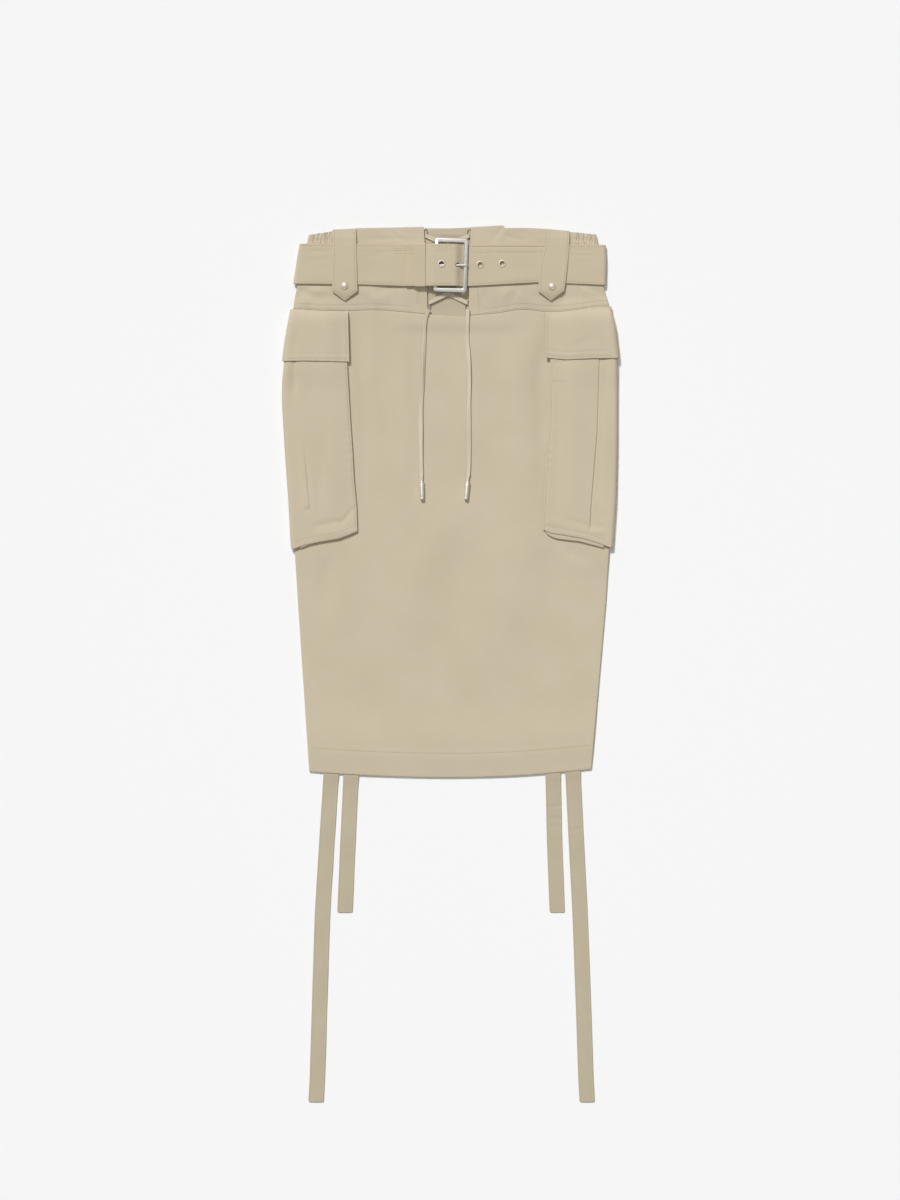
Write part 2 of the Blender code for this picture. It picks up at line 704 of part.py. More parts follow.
def build_pocket(side):
    """A cargo pocket: the front that wraps round the side, the gusset strip under its edges, and the flap."""
    sign = -1 if side == "left" else 1
    sections = [0.0, 0.06] + spread(0.16, 1, 9) + [1.25, 1.5, 1.75, 2.0, 3.0]
    columns = sections[::-1] if side == "left" else sections

    def pocket(s, v):
        low = read(POCKET_BOTTOM, "across", side, min(s, 1.0))
        y = low + (POCKET_TOP - low) * v
        under = (FLAP_WALL + GAP) * ease(*BACK_OVER_FLAPS, y)
        rise = POCKET_RISE + WALL
        inner = read(POCKET_INNER, "y", side, y, blur=10)
        outline = read(POCKET_OUTLINE, "y", side, y, blur=8)
        x, z = wrapped(s, lambda at: front_top(at, y) + rise, inner, outline, under, sign)
        return x, y, z

    def pleat(x, y):
        line = read(PLEAT_LINE, "y", side, y)
        return -PLEAT_DEPTH * math.exp(-(((x - line) / PLEAT_SPREAD) ** 2))

    rows = spread(0, 0.66, 7) + spread(0.72, 1.0, 6)
    raise_outer(sheet("pocket_front_" + side, TWILL, columns, rows, pocket, WALL), pleat)

    def flap(s, v):
        inner_top = read(FLAP_INNER, "y", side, FLAP_TOP)
        outer_top = read(FLAP_SIDES, "y", side, FLAP_TOP)
        across = min(s, 1.0)
        high = seam_y(inner_top + (outer_top - inner_top) * across) - GAP
        low = read(FLAP_BOTTOM, "across", side, across)
        y = low + (high - low) * v
        inner = read(FLAP_INNER, "y", side, y)
        outline = read(FLAP_SIDES, "y", side, y, blur=5)
        climb = (POCKET_RISE + WALL) * (1 - ease(POCKET_TOP + 3, FLAP_TOP - 3, y))
        rise = LAYER_GAP + climb + FLAP_WALL
        x, z = wrapped(s, lambda at: front_top(at, y) + rise, inner, outline, 0.0, sign)
        return x, y, z

    sheet("pocket_flap_" + side, TWILL, columns, [0, 0.35, 0.66, 0.74, 0.82, 0.9, 1.0], flap, FLAP_WALL)
    build_gusset(side, sign)


def build_gusset(side, sign):
    """A strip folded in half, its fold inwards, down the pocket's inner edge and along its lower edge."""
    bottom_column = "gusset_" + side
    corner_y = read(POCKET_BOTTOM, "across", bottom_column, 0.0)
    stations = []
    for y in spread(POCKET_TOP - 2, corner_y + 16, 9):
        inner = read(POCKET_INNER, "y", side, y, blur=10)
        stations.append((inner + sign * GUSSET_INSET, y, sign, 0.0))
    corner_x = read(POCKET_INNER, "y", side, corner_y, blur=10)
    stations.append((corner_x + sign * GUSSET_INSET, corner_y, sign, 1.0))
    far_x = read(POCKET_OUTLINE, "y", side, 160) - sign * 13
    for across in spread(0.28, 1.0, 6):
        x = corner_x + (far_x - corner_x) * across
        stations.append((x, read(POCKET_BOTTOM, "across", bottom_column, across), 0.0, 1.0))
    fold_radius = GUSSET_WALL + GUSSET_SLOT / 2
    section = [(0.0, 0.0), (GUSSET_DEPTH - fold_radius, 0.0)]
    for angle in (45, 90, 135):
        turn = math.radians(angle)
        reach = GUSSET_DEPTH - fold_radius * (1 - math.sin(turn))
        section.append((reach, fold_radius * (1 - math.cos(turn))))
    section += [(GUSSET_DEPTH - fold_radius, 2 * fold_radius), (0.0, 2 * fold_radius)]

    def strip(station, part):
        x, y, inward_x, inward_y = station
        depth, height = part
        x, y = x + inward_x * depth, y + inward_y * depth
        return x, y, front_top(x, y) + LAYER_GAP + height

    sheet("pocket_gusset_" + side, TWILL, stations, section, strip, GUSSET_WALL, inward=-1 if side == "left" else 1)


def belt_under(x):
    """Height of the belt's inner face along the front, away from the buckle."""
    return BELT_FRONT_Z - BELT_SIDE_DROP * ease(60, 110, abs(x))


def tip_under(x):
    """Height of the free end's inner face: it rises over the bar and settles beyond it."""
    settled = SETTLED_TIP + (TIP_UNDER - SETTLED_TIP) * ease(STACK_SETTLE_START, STACK_SETTLE_END, x)
    dip = ease(STRAP_DIP_START, STRAP_DIP_END, x)
    return settled + (belt_under(x) - settled) * dip


def belt_section(y):
    """The belt's outer face as (x, z) points, from its free tip round the body to the end folded on the bar."""
    left = read(BELT_ENDS, "y", "left", y)
    right = read(BELT_ENDS, "y", "right", y)
    points = []
    radius = (belt_under(right) + BELT_WALL) / 2
    dips = spread(STRAP_DIP_START, STRAP_DIP_END, 7)
    xs = [BELT_TIP, -41, STACK_SETTLE_START, -27.5, STACK_SETTLE_END, -8] + dips
    xs += [22, 55, 75, 90, 110, 130, 150, 175, right - radius]
    points += [(x, tip_under(x) + BELT_WALL) for x in xs]
    for angle in (30, 60, 90, 120, 150):
        turn = math.radians(angle)
        points.append((right - radius + radius * math.sin(turn), radius + radius * math.cos(turn)))
    points += [(x, 0.0) for x in (right - radius, 120, 40, -40, -120, left + radius)]
    for angle in (30, 60, 90, 120, 150):
        turn = math.radians(angle)
        points.append((left + radius - radius * math.sin(turn), radius - radius * math.cos(turn)))
    xs = [left + radius, -175, -150, -130, -110, -90, -70, -45, -24, LOOP_END]
    points += [(x, belt_under(x) + BELT_WALL) for x in xs]
    loop_radius = BUCKLE_THICK / 2 + GAP
    for angle in (36, 72, 108, 144, 180):
        turn = math.radians(angle)
        points.append(
            (LOOP_END + loop_radius * math.sin(turn), BAR_LOW - GAP + loop_radius * (1 - math.cos(turn)))
        )
    for x in (STACK_SETTLE_END, -27.5, STACK_SETTLE_START, BELT_FOLD_END):
        settle = ease(STACK_SETTLE_START, STACK_SETTLE_END, x)
        points.append((x, SETTLED_FOLD + (FOLD_UNDER - SETTLED_FOLD) * settle))
    return points


def build_belt():
    """The belt strap with its holes, its keeper, and the eyelets."""
    count = len(belt_section(520))

    def strap(index, v):
        guess_x = belt_section(518)[index][0]
        top = read(BELT_EDGES, "x", "top", guess_x, blur=8)
        bottom = read(BELT_EDGES, "x", "bottom", guess_x, blur=8)
        y = bottom + (top - bottom) * v
        x, z = belt_section(y)[index]
        return x, y, z

    belt = sheet("belt_strap", BELT_TWILL, list(range(count)), [0, 0.35, 0.7, 1], strap, BELT_WALL)
    slot_low = (BAR_X - 5.5, PRONG_Y - PRONG_SLOT_HALF, BELT_FRONT_Z - 1)
    slot_high = (LOOP_END + 6, PRONG_Y + PRONG_SLOT_HALF, TIP_UNDER - GAP / 2)
    cut(belt, block_cutter("prong_slot", slot_low, slot_high))
    hole_x = (STRAP_DIP_START + STRAP_DIP_END) / 2 - PRONG_HOLE
    hole = round_cutter(
        "prong_hole", hole_x, PRONG_Y, BELT_FRONT_Z - 2, TIP_UNDER + 4, PRONG_HOLE, stretch=PRONG_HOLE_STRETCH
    )
    cut(belt, hole)
    flange = [(2.2, 1.0), (3.4, 1.15), (4.6, 0.7), (4.6, GAP), (2.85, GAP), (2.85, -1.2), (2.2, -1.2)]
    for number, place in enumerate(EYELETS, 1):
        top = tip_under(place.x) + BELT_WALL
        cut(belt, round_cutter(f"eyelet_hole_{number}", place.x, place.y, top - 4, top + 2, EYELET_HOLE))
        turned(f"belt_eyelet_{number}", PALE_STEEL, flange, 12, (place.x, place.y, top))

    top = read(BELT_EDGES, "x", "top", KEEPER_X, blur=8) + GAP + KEEPER_WALL
    bottom = read(BELT_EDGES, "x", "bottom", KEEPER_X, blur=8) - GAP - KEEPER_WALL
    low = BELT_FRONT_Z - GAP - KEEPER_WALL
    high = tip_under(KEEPER_X - KEEPER_WIDTH / 2) + BELT_WALL + GAP + KEEPER_WALL
    keeper = flat_ring(
        "belt_keeper", BELT_TWILL, top - bottom, high - low, KEEPER_WALL, KEEPER_WALL + 0.5, KEEPER_WIDTH / 2
    )
    keeper.rotation_euler = (math.radians(90), 0, math.radians(90))
    keeper.location = Vector((KEEPER_X, (top + bottom) / 2, (low + high) / 2)) * MM


def build_buckle():
    """The metal frame and the prong that turns on its hidden bar."""
    frame = flat_ring(
        "buckle_frame",
        BRUSHED_STEEL,
        BUCKLE_WIDTH,
        BUCKLE_HEIGHT,
        BUCKLE_BAR,
        BUCKLE_CORNER,
        BUCKLE_THICK / 2,
        edge=0.5,
    )
    frame.rotation_euler.z = math.radians(BUCKLE_TURN)
    frame.location = Vector((BUCKLE_X, BUCKLE_Y, (BAR_LOW + BAR_HIGH) / 2)) * MM
    middle = (BAR_LOW + BAR_HIGH) / 2
    reach_x = BUCKLE_BAR / 2 + GAP + PRONG_RADIUS + 0.8
    reach_z = BUCKLE_THICK / 2 + GAP + PRONG_RADIUS
    points = []
    for angle in (-60, -100, -140, 180, 140, 100):
        turn = math.radians(angle)
        power = 0.55
        x = math.copysign(abs(math.cos(turn)) ** power, math.cos(turn)) * reach_x
        z = math.copysign(abs(math.sin(turn)) ** power, math.sin(turn)) * reach_z
        points.append((BAR_X + x, 0, middle + z))
    points += [(BAR_X + 4, 0, middle + reach_z), (2, 0, middle + reach_z), (PRONG_TIP, 0, middle + reach_z)]
    prong = tube("buckle_prong", BRUSHED_STEEL, points, PRONG_RADIUS)
    prong.scale.y = PRONG_WIDEN
    prong.location.y = PRONG_Y * MM


def build_belt_loops():
    """The two wide loops with pointed ends, and the snaps that close them."""
    tables = {"left": LOOP_LEFT, "right": LOOP_RIGHT}
    for side, table in tables.items():

        def place(f, v, table=table, side=side):
            low = LOOP_POINT_Y + (LOOP_CORNER_Y - LOOP_POINT_Y) * abs(2 * f - 1)
            high = LOOP_TOP[side][0] + (LOOP_TOP[side][1] - LOOP_TOP[side][0]) * f
            y = low + (high - low) * v
            left, right = read(table, "y", "left", y, blur=4), read(table, "y", "right", y, blur=4)
            x = left + (right - left) * f
            over_belt = ease(*LOOP_ONTO_BELT, y) * (1 - ease(*LOOP_OFF_BELT, y))
            on_yoke = front_top(x, y) + LAYER_GAP
            return x, y, on_yoke + (LOOP_Z - on_yoke) * over_belt + WALL

        rows = [0, 0.07, 0.14, 0.22, 0.84, 0.9, 0.96, 1.0]
        sheet("belt_loop_" + side, BELT_TWILL, [0, 0.25, 0.5, 0.75, 1.0], rows, place, WALL)
    cap = [(0, 1.7), (2.6, 1.5), (4.0, 0.9), (SNAP_RADIUS, 0.2), (SNAP_RADIUS, 0.0), (0, 0.0)]
    for snap in SNAPS:
        turned("snap_" + snap.side, PALE_STEEL, cap, 16, (snap.x, snap.y, LOOP_Z + WALL + GAP))


def ring_x(side, y):
    out = RING_OUT if side == "left" else -RING_OUT
    return read(OPENING, "y", side, y) + out


def build_lacing():
    """Oval rings down the edges of the opening, and the flat strands that cross between them."""
    for side in ("left", "right"):
        for number, row_y in enumerate(RING_ROWS, 1):
            points = []
            for step in range(RING_POINTS):
                angle = 2 * math.pi * step / RING_POINTS
                y = row_y + RING_HALF_HEIGHT * math.sin(angle)
                x = ring_x(side, row_y) + RING_HALF_WIDTH * math.cos(angle)
                z = front_top(ring_x(side, y), y) - WALL - GAP - RING_WIRE
                points.append((x, y, z))
            tube(f"lacing_ring_{side}_{number}", PALE_STEEL, points, RING_WIRE, closed=True, sides=1)
    number = 0
    for upper, lower in zip(RING_ROWS, RING_ROWS[1:]):
        for start, end, dips in (("left", "right", True), ("right", "left", False)):
            number += 1
            first = Vector((ring_x(start, upper), upper - STRAND_SHIFT))
            last = Vector((ring_x(end, lower), lower + STRAND_SHIFT))

            def place(part, across, first=first, last=last, dips=dips):
                middle = first.lerp(last, part)
                x, y = middle.x, middle.y + across * STRAND_WIDTH / 2
                crossing = math.sin(math.pi * part) ** 0.7 if 0 < part < 1 else 0.0
                level = -(TAPE_WALL + 0.2) * crossing if dips else 0.1 * crossing
                return x, y, front_top(x, y) - WALL + TAPE_WALL + level

            parts = spread(0, 1, 9)
            columns = parts if start == "left" else parts[::-1]
            sheet(f"lace_strand_{number}", CORD_COTTON, columns, [-1.0, 1.0], place, TAPE_WALL)


def smooth_route(points):
    """Points every few millimetres along a smooth curve through the given ones."""
    places = [Vector((point.x, point.y)) for point in points]
    places = [2 * places[0] - places[1]] + places + [2 * places[-1] - places[-2]]
    route = []
    for before, start, end, after in zip(places, places[1:], places[2:], places[3:]):
        pieces = max(1, round((end - start).length / CORD_STEP))
        for piece in range(pieces):
            t = piece / pieces
            route.append(
                0.5
                * (
                    2 * start
                    + (end - before) * t
                    + (2 * before - 5 * start + 4 * end - after) * t**2
                    + (3 * start - before - 3 * end + after) * t**3
                )
            )
    return route + [places[-2]]


def build_lace_ends():
    """The lace's free ends, lying down the front panel, each in a metal tip."""
    for side, points in (("left", CORD_LEFT), ("right", CORD_RIGHT)):
        route = smooth_route(points)
        end = route[-1]
        path = []
        for point in route:
            to_tip = 1 - ease(0, 14, (end - point).length)
            rise = CORD_CLEAR + CORD_RADIUS + (TIP_RADIUS - CORD_RADIUS) * to_tip
            path.append((point.x, point.y, front_top(point.x, point.y) + rise))
        tube("lace_end_" + side, CORD_COTTON, path, CORD_RADIUS)
        profile = [(0, 0), (2.3, 0), (TIP_RADIUS, -0.6), (TIP_RADIUS, -TIP_LENGTH + 0.6), (2.4, -TIP_LENGTH)]
        profile.append((0, -TIP_LENGTH))
        tip = turned("lace_tip_" + side, PALE_STEEL, profile, 14, (end.x, end.y - GAP, path[-1][2]))
        lean = math.atan2(route[-1].x - route[-3].x, route[-3].y - route[-1].y)
        tip.rotation_euler = (math.radians(-90), 0, lean)


def build_straps():
    """Four tapes sewn inside the back of the hem, lying out below it."""
    for name, end in STRAP_ENDS.items():
        count = 9 if end < -400 else 6

        def place(f, y, name=name, end=end):
            middle = read(STRAP_LINES, "y", name, y, blur=10)
            clip = STRAP_CLIP if y == end and f in (-1, 1) else 0.0
            edge = hem_y(middle)
            inside = ease(edge - 16, edge - 3, y)
            x = middle + f * STRAP_WIDTH / 2
            return x, y + clip, inside * (WALL + GAP + back_lift(x, y)) + STRAP_WALL

        edge = hem_y(read(STRAP_LINES, "y", name, -149))
        rows = spread(end, edge - 22, count) + [edge - 16, edge - 12, edge - 9, edge - 6, edge - 3, STRAP_ROOT]
        sheet("hem_strap_" + name, TAPE_TWILL, [-1, -0.8, 0.8, 1], rows, place, STRAP_WALL)


for old in list(bpy.data.objects):
    bpy.data.objects.remove(old)
skirt = bpy.data.collections.new("cargo_skirt")
cutters = bpy.data.collections.new("cutters")
bpy.context.scene.collection.children.link(skirt)
bpy.context.scene.collection.children.link(cutters)

build_panels()
build_yokes()
for pocket_side in ("left", "right"):
    build_pocket(pocket_side)
build_belt()
build_buckle()
build_belt_loops()
build_lacing()
build_lace_ends()
build_straps()
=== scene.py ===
"""The looks of a cargo skirt that lies flat, front side up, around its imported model.

X runs across the skirt, Y from the hem to the waist and Z up from the surface that it lies on. Sizes and
tables are in millimetres, and MM turns them into metres where a mesh is made.
"""

import math
from collections import namedtuple

import bpy
import numpy as np
from mathutils import Matrix, Vector
from mathutils.bvhtree import BVHTree


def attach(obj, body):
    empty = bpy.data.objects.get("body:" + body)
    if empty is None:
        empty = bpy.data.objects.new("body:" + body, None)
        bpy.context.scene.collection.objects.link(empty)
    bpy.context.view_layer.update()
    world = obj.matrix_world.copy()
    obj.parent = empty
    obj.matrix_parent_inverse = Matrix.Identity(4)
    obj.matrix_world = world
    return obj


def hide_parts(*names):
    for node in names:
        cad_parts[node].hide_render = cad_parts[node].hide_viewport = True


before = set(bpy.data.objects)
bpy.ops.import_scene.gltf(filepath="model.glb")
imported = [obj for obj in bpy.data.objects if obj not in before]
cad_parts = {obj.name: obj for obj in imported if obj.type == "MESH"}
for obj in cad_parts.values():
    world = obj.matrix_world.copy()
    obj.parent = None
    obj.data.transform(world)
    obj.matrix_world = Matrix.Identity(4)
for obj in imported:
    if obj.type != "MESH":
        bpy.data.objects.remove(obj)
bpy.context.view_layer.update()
MM = 0.001

# Sand cotton twill
# The skirt's cloth is a fine twill, a little brushed, dyed one colour with faint clouds in it.
# The belt is the same cloth doubled, and the hem straps are a slightly darker twill tape.


def new_group(name, inputs, outputs):
    """An empty shader node group with named sockets, and its input and output nodes."""
    group = bpy.data.node_groups.new(name, "ShaderNodeTree")
    for socket, kind, value in inputs:
        made = group.interface.new_socket(name=socket, in_out="INPUT", socket_type=kind)
        if value is not None:
            made.default_value = value
    for socket, kind in outputs:
        group.interface.new_socket(name=socket, in_out="OUTPUT", socket_type=kind)
    return group, group.nodes.new("NodeGroupInput"), group.nodes.new("NodeGroupOutput")


def math_node(tree, operation, first, second=0.0, third=0.0, clamp=False):
    """A math node whose inputs are sockets or numbers, as its output socket."""
    node = tree.nodes.new("ShaderNodeMath")
    node.operation = operation
    node.use_clamp = clamp
    for socket, value in zip(node.inputs, (first, second, third)):
        if isinstance(value, bpy.types.NodeSocket):
            tree.links.new(value, socket)
        else:
            socket.default_value = value
    return node.outputs[0]


def noise_node(tree, place, scale, detail=2.0, roughness=0.5):
    node = tree.nodes.new("ShaderNodeTexNoise")
    node.inputs["Scale"].default_value = scale
    node.inputs["Detail"].default_value = detail
    node.inputs["Roughness"].default_value = roughness
    tree.links.new(place, node.inputs["Vector"])
    return node.outputs["Fac"]


def stretched(tree, place, scale):
    """A place stretched along its axes, for a pattern that runs with the threads."""
    node = tree.nodes.new("ShaderNodeVectorMath")
    node.operation = "MULTIPLY"
    tree.links.new(place, node.inputs[0])
    node.inputs[1].default_value = scale
    return node.outputs[0]


def build_twill_group():
    """Twill: fine diagonal ribs of warp threads, with slubs and a slow change of tone."""
    group, given, result = new_group(
        "twill_threads",
        [("Place", "NodeSocketVector", None), ("Threads per metre", "NodeSocketFloat", 2100.0)],
        [("Height", "NodeSocketFloat"), ("Slub", "NodeSocketFloat"), ("Cloud", "NodeSocketFloat")],
    )
    place = given.outputs["Place"]
    split = group.nodes.new("ShaderNodeSeparateXYZ")
    group.links.new(place, split.inputs[0])
    across = math_node(group, "MULTIPLY", split.outputs["X"], given.outputs["Threads per metre"])
    along = math_node(group, "MULTIPLY", split.outputs["Y"], given.outputs["Threads per metre"])
    slope = math_node(group, "ADD", across, along)
    rib = math_node(group, "SINE", math_node(group, "MULTIPLY", slope, 2 * math.pi / 4))
    warp = math_node(group, "SINE", math_node(group, "MULTIPLY", across, 2 * math.pi))
    ribs = math_node(group, "MULTIPLY_ADD", rib, 0.34, 0.5)
    height = math_node(group, "MULTIPLY_ADD", warp, 0.13, ribs)
    slub_across = noise_node(group, stretched(group, place, (1, 7, 1)), 260.0, 3.0)
    slub_along = noise_node(group, stretched(group, place, (7, 1, 1)), 240.0, 3.0)
    slub = math_node(group, "ADD", slub_across, slub_along)
    cloud = noise_node(group, place, 13.0, 4.0, 0.6)
    group.links.new(height, result.inputs["Height"])
    group.links.new(math_node(group, "MULTIPLY", slub, 0.5), result.inputs["Slub"])
    group.links.new(cloud, result.inputs["Cloud"])
    return group


twill_threads = build_twill_group()


def twill(name, light, dark, sheen=0.14, threads=2100.0, depth=0.00016):
    """A twill in two close tones, with its threads raised, and its thread crests coloured lighter than the
    furrows between them as painted shade of the weave.
    """
    material = bpy.data.materials.new(name)
    material.use_nodes = True
    tree = material.node_tree
    shader = tree.nodes["Principled BSDF"]
    place = tree.nodes.new("ShaderNodeUVMap")
    place.uv_map = "UVMap"
    weave = tree.nodes.new("ShaderNodeGroup")
    weave.node_tree = twill_threads
    weave.inputs["Threads per metre"].default_value = threads
    tree.links.new(place.outputs["UV"], weave.inputs["Place"])
    tone = math_node(tree, "MULTIPLY_ADD", weave.outputs["Cloud"], 1.5, -0.25)
    tone = math_node(tree, "MULTIPLY_ADD", weave.outputs["Slub"], 0.9, math_node(tree, "ADD", tone, -0.45))
    tone = math_node(tree, "ADD", tone, -0.15)
    # Painted shade: the thread height also lightens the crests and darkens the furrows, on top of the bump.
    tone = math_node(tree, "MULTIPLY_ADD", weave.outputs["Height"], 0.3, tone, clamp=True)
    blend = tree.nodes.new("ShaderNodeMix")
    blend.data_type = "RGBA"
    tree.links.new(tone, blend.inputs["Factor"])
    blend.inputs["A"].default_value = (*dark, 1)
    blend.inputs["B"].default_value = (*light, 1)
    tree.links.new(blend.outputs["Result"], shader.inputs["Base Color"])
    rough = math_node(tree, "MULTIPLY_ADD", weave.outputs["Slub"], -0.2, 0.98)
    tree.links.new(rough, shader.inputs["Roughness"])
    bump = tree.nodes.new("ShaderNodeBump")
    bump.inputs["Strength"].default_value = 0.5
    bump.inputs["Distance"].default_value = depth
    relief = math_node(tree, "MULTIPLY_ADD", weave.outputs["Slub"], 0.8, weave.outputs["Height"])
    tree.links.new(relief, bump.inputs["Height"])
    tree.links.new(bump.outputs["Normal"], shader.inputs["Normal"])
    shader.inputs["Sheen Weight"].default_value = sheen
    shader.inputs["Sheen Roughness"].default_value = 0.45
    shader.inputs["Specular IOR Level"].default_value = 0.25
    return material


shell_twill = twill("sand_twill", (0.603, 0.524, 0.388), (0.553, 0.475, 0.345))
# A darker copy of the sand twill for the underlap: painted shade of the recess behind the lacing.
underlap_shaded_twill = twill("underlap_shaded_twill", (0.548, 0.476, 0.346), (0.500, 0.430, 0.311))
belt_twill = twill("belt_twill", (0.588, 0.511, 0.368), (0.538, 0.461, 0.326))
strap_twill = twill("strap_twill", (0.526, 0.458, 0.335), (0.476, 0.408, 0.292))

# Front and back panels
# Two panels of the twill, sewn together at the sides, with a hem turned up inside and soft folds that
# fall from the yoke seam. They lie on each other, and their side seams round the flat edges.
WALL = 1.2
GAP = 0.3
SEAM_GAP = 0.4
HOLLOW = 1.7
SIDE_ROUND = WALL + HOLLOW / 2 - GAP
SEAM_Y = 457.0
BACK_SEAM_Y = 458.0
HEM_LOW = -147.0
HEM_RISE_LEFT = 7.5
HEM_RISE_RIGHT = 11.0
HEM_HALF = 183.0
HEM_TURN = 33.0
BELT_WALL = 1.6
FLAP_WALL = 1.3
LACING_MIDDLE = 8.0
UNDERLAP_RISE = 1.8


def table_of(kind, *values):
    """A table's rows, each with its columns named."""
    return tuple(kind(*row) for row in values)


Zone = namedtuple("Zone", "start end")
BACK_OVER_BELT = Zone(455, 488)
BACK_OVER_POCKETS = Zone(106, 146)
BACK_OVER_FLAPS = Zone(352, 388)
BACK_OUT_TO_POCKETS = Zone(128, 164)
BACK_ABOVE_FLAPS = Zone(462, 488)
FRONT_OVER_UNDERLAP = Zone(426, 444)
FRONT_BESIDE_UNDERLAP = Zone(60, 95)
FRONT_UNDER_BELT = Zone(484, 492)

Side = namedtuple("Side", "y left right")
BODY_SIDES = table_of(
    Side,
    (568, -182, 187), (556, -184, 189), (538, -188, 193), (492, -198, 196), (484, -200.5, 200),
    (473, -203, 204), (460, -204, 206), (440, -206, 207.5), (414, -209.5, 209.5), (394, -212.5, 210.8),
    (343, -214, 211.6), (278, -210.6, 211.6), (213, -206, 210), (160, -203, 206.6), (83, -198.4, 202),
    (18, -194.1, 196.4), (-47, -189.7, 190.8), (-112, -185.4, 185.1), (-147, -183, 182),
)
SeamPoint = namedtuple("SeamPoint", "x y")
SEAM = table_of(
    SeamPoint,
    (-206, 460.3), (-168, 457.9), (-133, 457.9), (-96, 459.4), (-68, 457.2), (-35, 454.1), (11, 450.3),
    (38, 453.3), (59, 454.3), (89, 459.9), (103, 459.4), (123, 456.6), (143, 456.6), (163, 458.8),
    (198, 464.0), (208, 463.3),
)
Fold = namedtuple("Fold", "x1 y1 x2 y2 height spread")
FOLDS = table_of(
    Fold,
    (-62, 462, -56, 110, 2.0, 19), (90, 462, 96, 130, 1.9, 21), (-104, 450, -102, 220, 0.7, 11),
    (42, 446, 36, 300, 0.7, 12), (2, 210, -78, 10, 1.7, 24), (96, 190, 40, -60, 1.1, 30),
    (-122, 150, -156, 30, 0.9, 20), (40, 120, 60, -80, 0.9, 24), (-196, 468, -160, 487, 1.4, 7),
    (-100, 470, -66, 486, 1.0, 9), (84, 480, 108, 468, 1.0, 9), (160, 486, 196, 472, 1.3, 7),
)
FOLD_LIMIT = 2.1
FINE_CREASES = table_of(
    Fold,
    (-50, 440, -46, 120, -0.6, 8), (27, 449, 30, 400, 0.7, 5), (119, 452, 123, 180, -1.6, 9),
    (-120, 442, -108, 180, -1.5, 8), (66, 452, 72, 320, -0.3, 9), (8, 446, 4, 300, -0.7, 14),
    (-152, 146, -176, 30, -1.2, 11), (146, 150, 180, 130, -1.3, 6), (120, 150, 152, 96, -0.6, 9),
    (-30, 60, -18, -90, -0.5, 14), (96, 60, 110, -80, -0.5, 16), (-120, -20, -96, -104, -0.4, 13),
    (143, 480, 142, 464, -0.9, 2.2), (163.5, 492, 168, 474, -1.1, 2.2), (-194, 489, -168, 468, -1.3, 4),
    (-178, 490, -156, 478, 1.0, 4), (-72, 491, -100, 476, -0.9, 5), (-60, 486, -54, 470, 0.3, 5),
    (-112, 488, -84, 466, 0.7, 5), (178, 490, 204, 474, -1.2, 4), (112, 470, 92, 490, -0.9, 5),
    (80, 489, 60, 470, 0.8, 5), (48, 487, 42, 466, -0.6, 3),
)


def ease(start, end, value):
    """0 up to start, 1 from end on, and a smooth rise between."""
    part = np.clip((np.asarray(value, float) - start) / (end - start), 0, 1)
    return part * part * (3 - 2 * part)


def bell(value, middle, width):
    """1 where the value is at the middle, falling away smoothly within about the width."""
    return np.exp(-(((value - middle) / width) ** 2))


def read(table, key, column, value, blur=0.0):
    """The table's column at each value of its key, with its corners softened over the blur."""
    keys = np.array([getattr(row, key) for row in table], float)
    values = np.array([getattr(row, column) for row in table], float)
    order = np.argsort(keys)
    looks = np.asarray(value, float)[..., None] + blur * np.linspace(-1, 1, 5)
    return np.mean(np.interp(looks, keys[order], values[order]), axis=-1)


def body_side(side, y):
    return read(BODY_SIDES, "y", side, y, blur=12)


def seam_y(x):
    return read(SEAM, "x", "y", x, blur=9)


def hem_y(x):
    rise = np.where(x < 0, HEM_RISE_LEFT, HEM_RISE_RIGHT)
    return HEM_LOW + rise * (x / HEM_HALF) ** 2


def back_lift(x, y):
    """Height of the back's underside: the belt and the wrapped pockets and flaps lie under it."""
    over_belt = (BELT_WALL + GAP) * ease(*BACK_OVER_BELT, y)
    over_pocket = (WALL + GAP) * ease(*BACK_OVER_POCKETS, y)
    over_flap = (FLAP_WALL + GAP) * ease(*BACK_OVER_FLAPS, y)
    beside_pocket = ease(*BACK_OUT_TO_POCKETS, abs(x)) * (1 - ease(*BACK_ABOVE_FLAPS, y))
    return np.maximum(over_belt, beside_pocket * (over_pocket + over_flap))


def ridges(table, x, y):
    """The ridges and troughs of a table of folds at each point."""
    total = np.zeros(np.broadcast(x, y).shape)
    for fold in table:
        run = np.array((fold.x2 - fold.x1, fold.y2 - fold.y1), float)
        part = ((x - fold.x1) * run[0] + (y - fold.y1) * run[1]) / (run @ run)
        part = np.clip(part, 0, 1)
        away = np.hypot(x - fold.x1 - run[0] * part, y - fold.y1 - run[1] * part)
        fade = 1 - 0.45 * np.abs(2 * part - 1) ** 2
        total = total + fold.height * fade * bell(away, 0, fold.spread)
    return total


def soft_folds(table, x, y):
    """Broad folds that fade out towards both ends and sway a little from side to side."""
    total = np.zeros(np.broadcast(x, y).shape)
    swayed = x + 3.5 * np.sin(y * 0.019 + x * 0.013) + 1.5 * np.sin(y * 0.051 + 1.7)
    for fold in table:
        run = np.array((fold.x2 - fold.x1, fold.y2 - fold.y1), float)
        part = ((swayed - fold.x1) * run[0] + (y - fold.y1) * run[1]) / (run @ run)
        away = np.abs((swayed - fold.x1) * run[1] - (y - fold.y1) * run[0]) / np.hypot(*run)
        fade = ease(-0.1, 0.25, part) * (1 - ease(0.45, 1.15, part))
        total = total + fold.height * fade * bell(away, 0, fold.spread * (1 + 0.5 * part.clip(0, 1)))
    return total


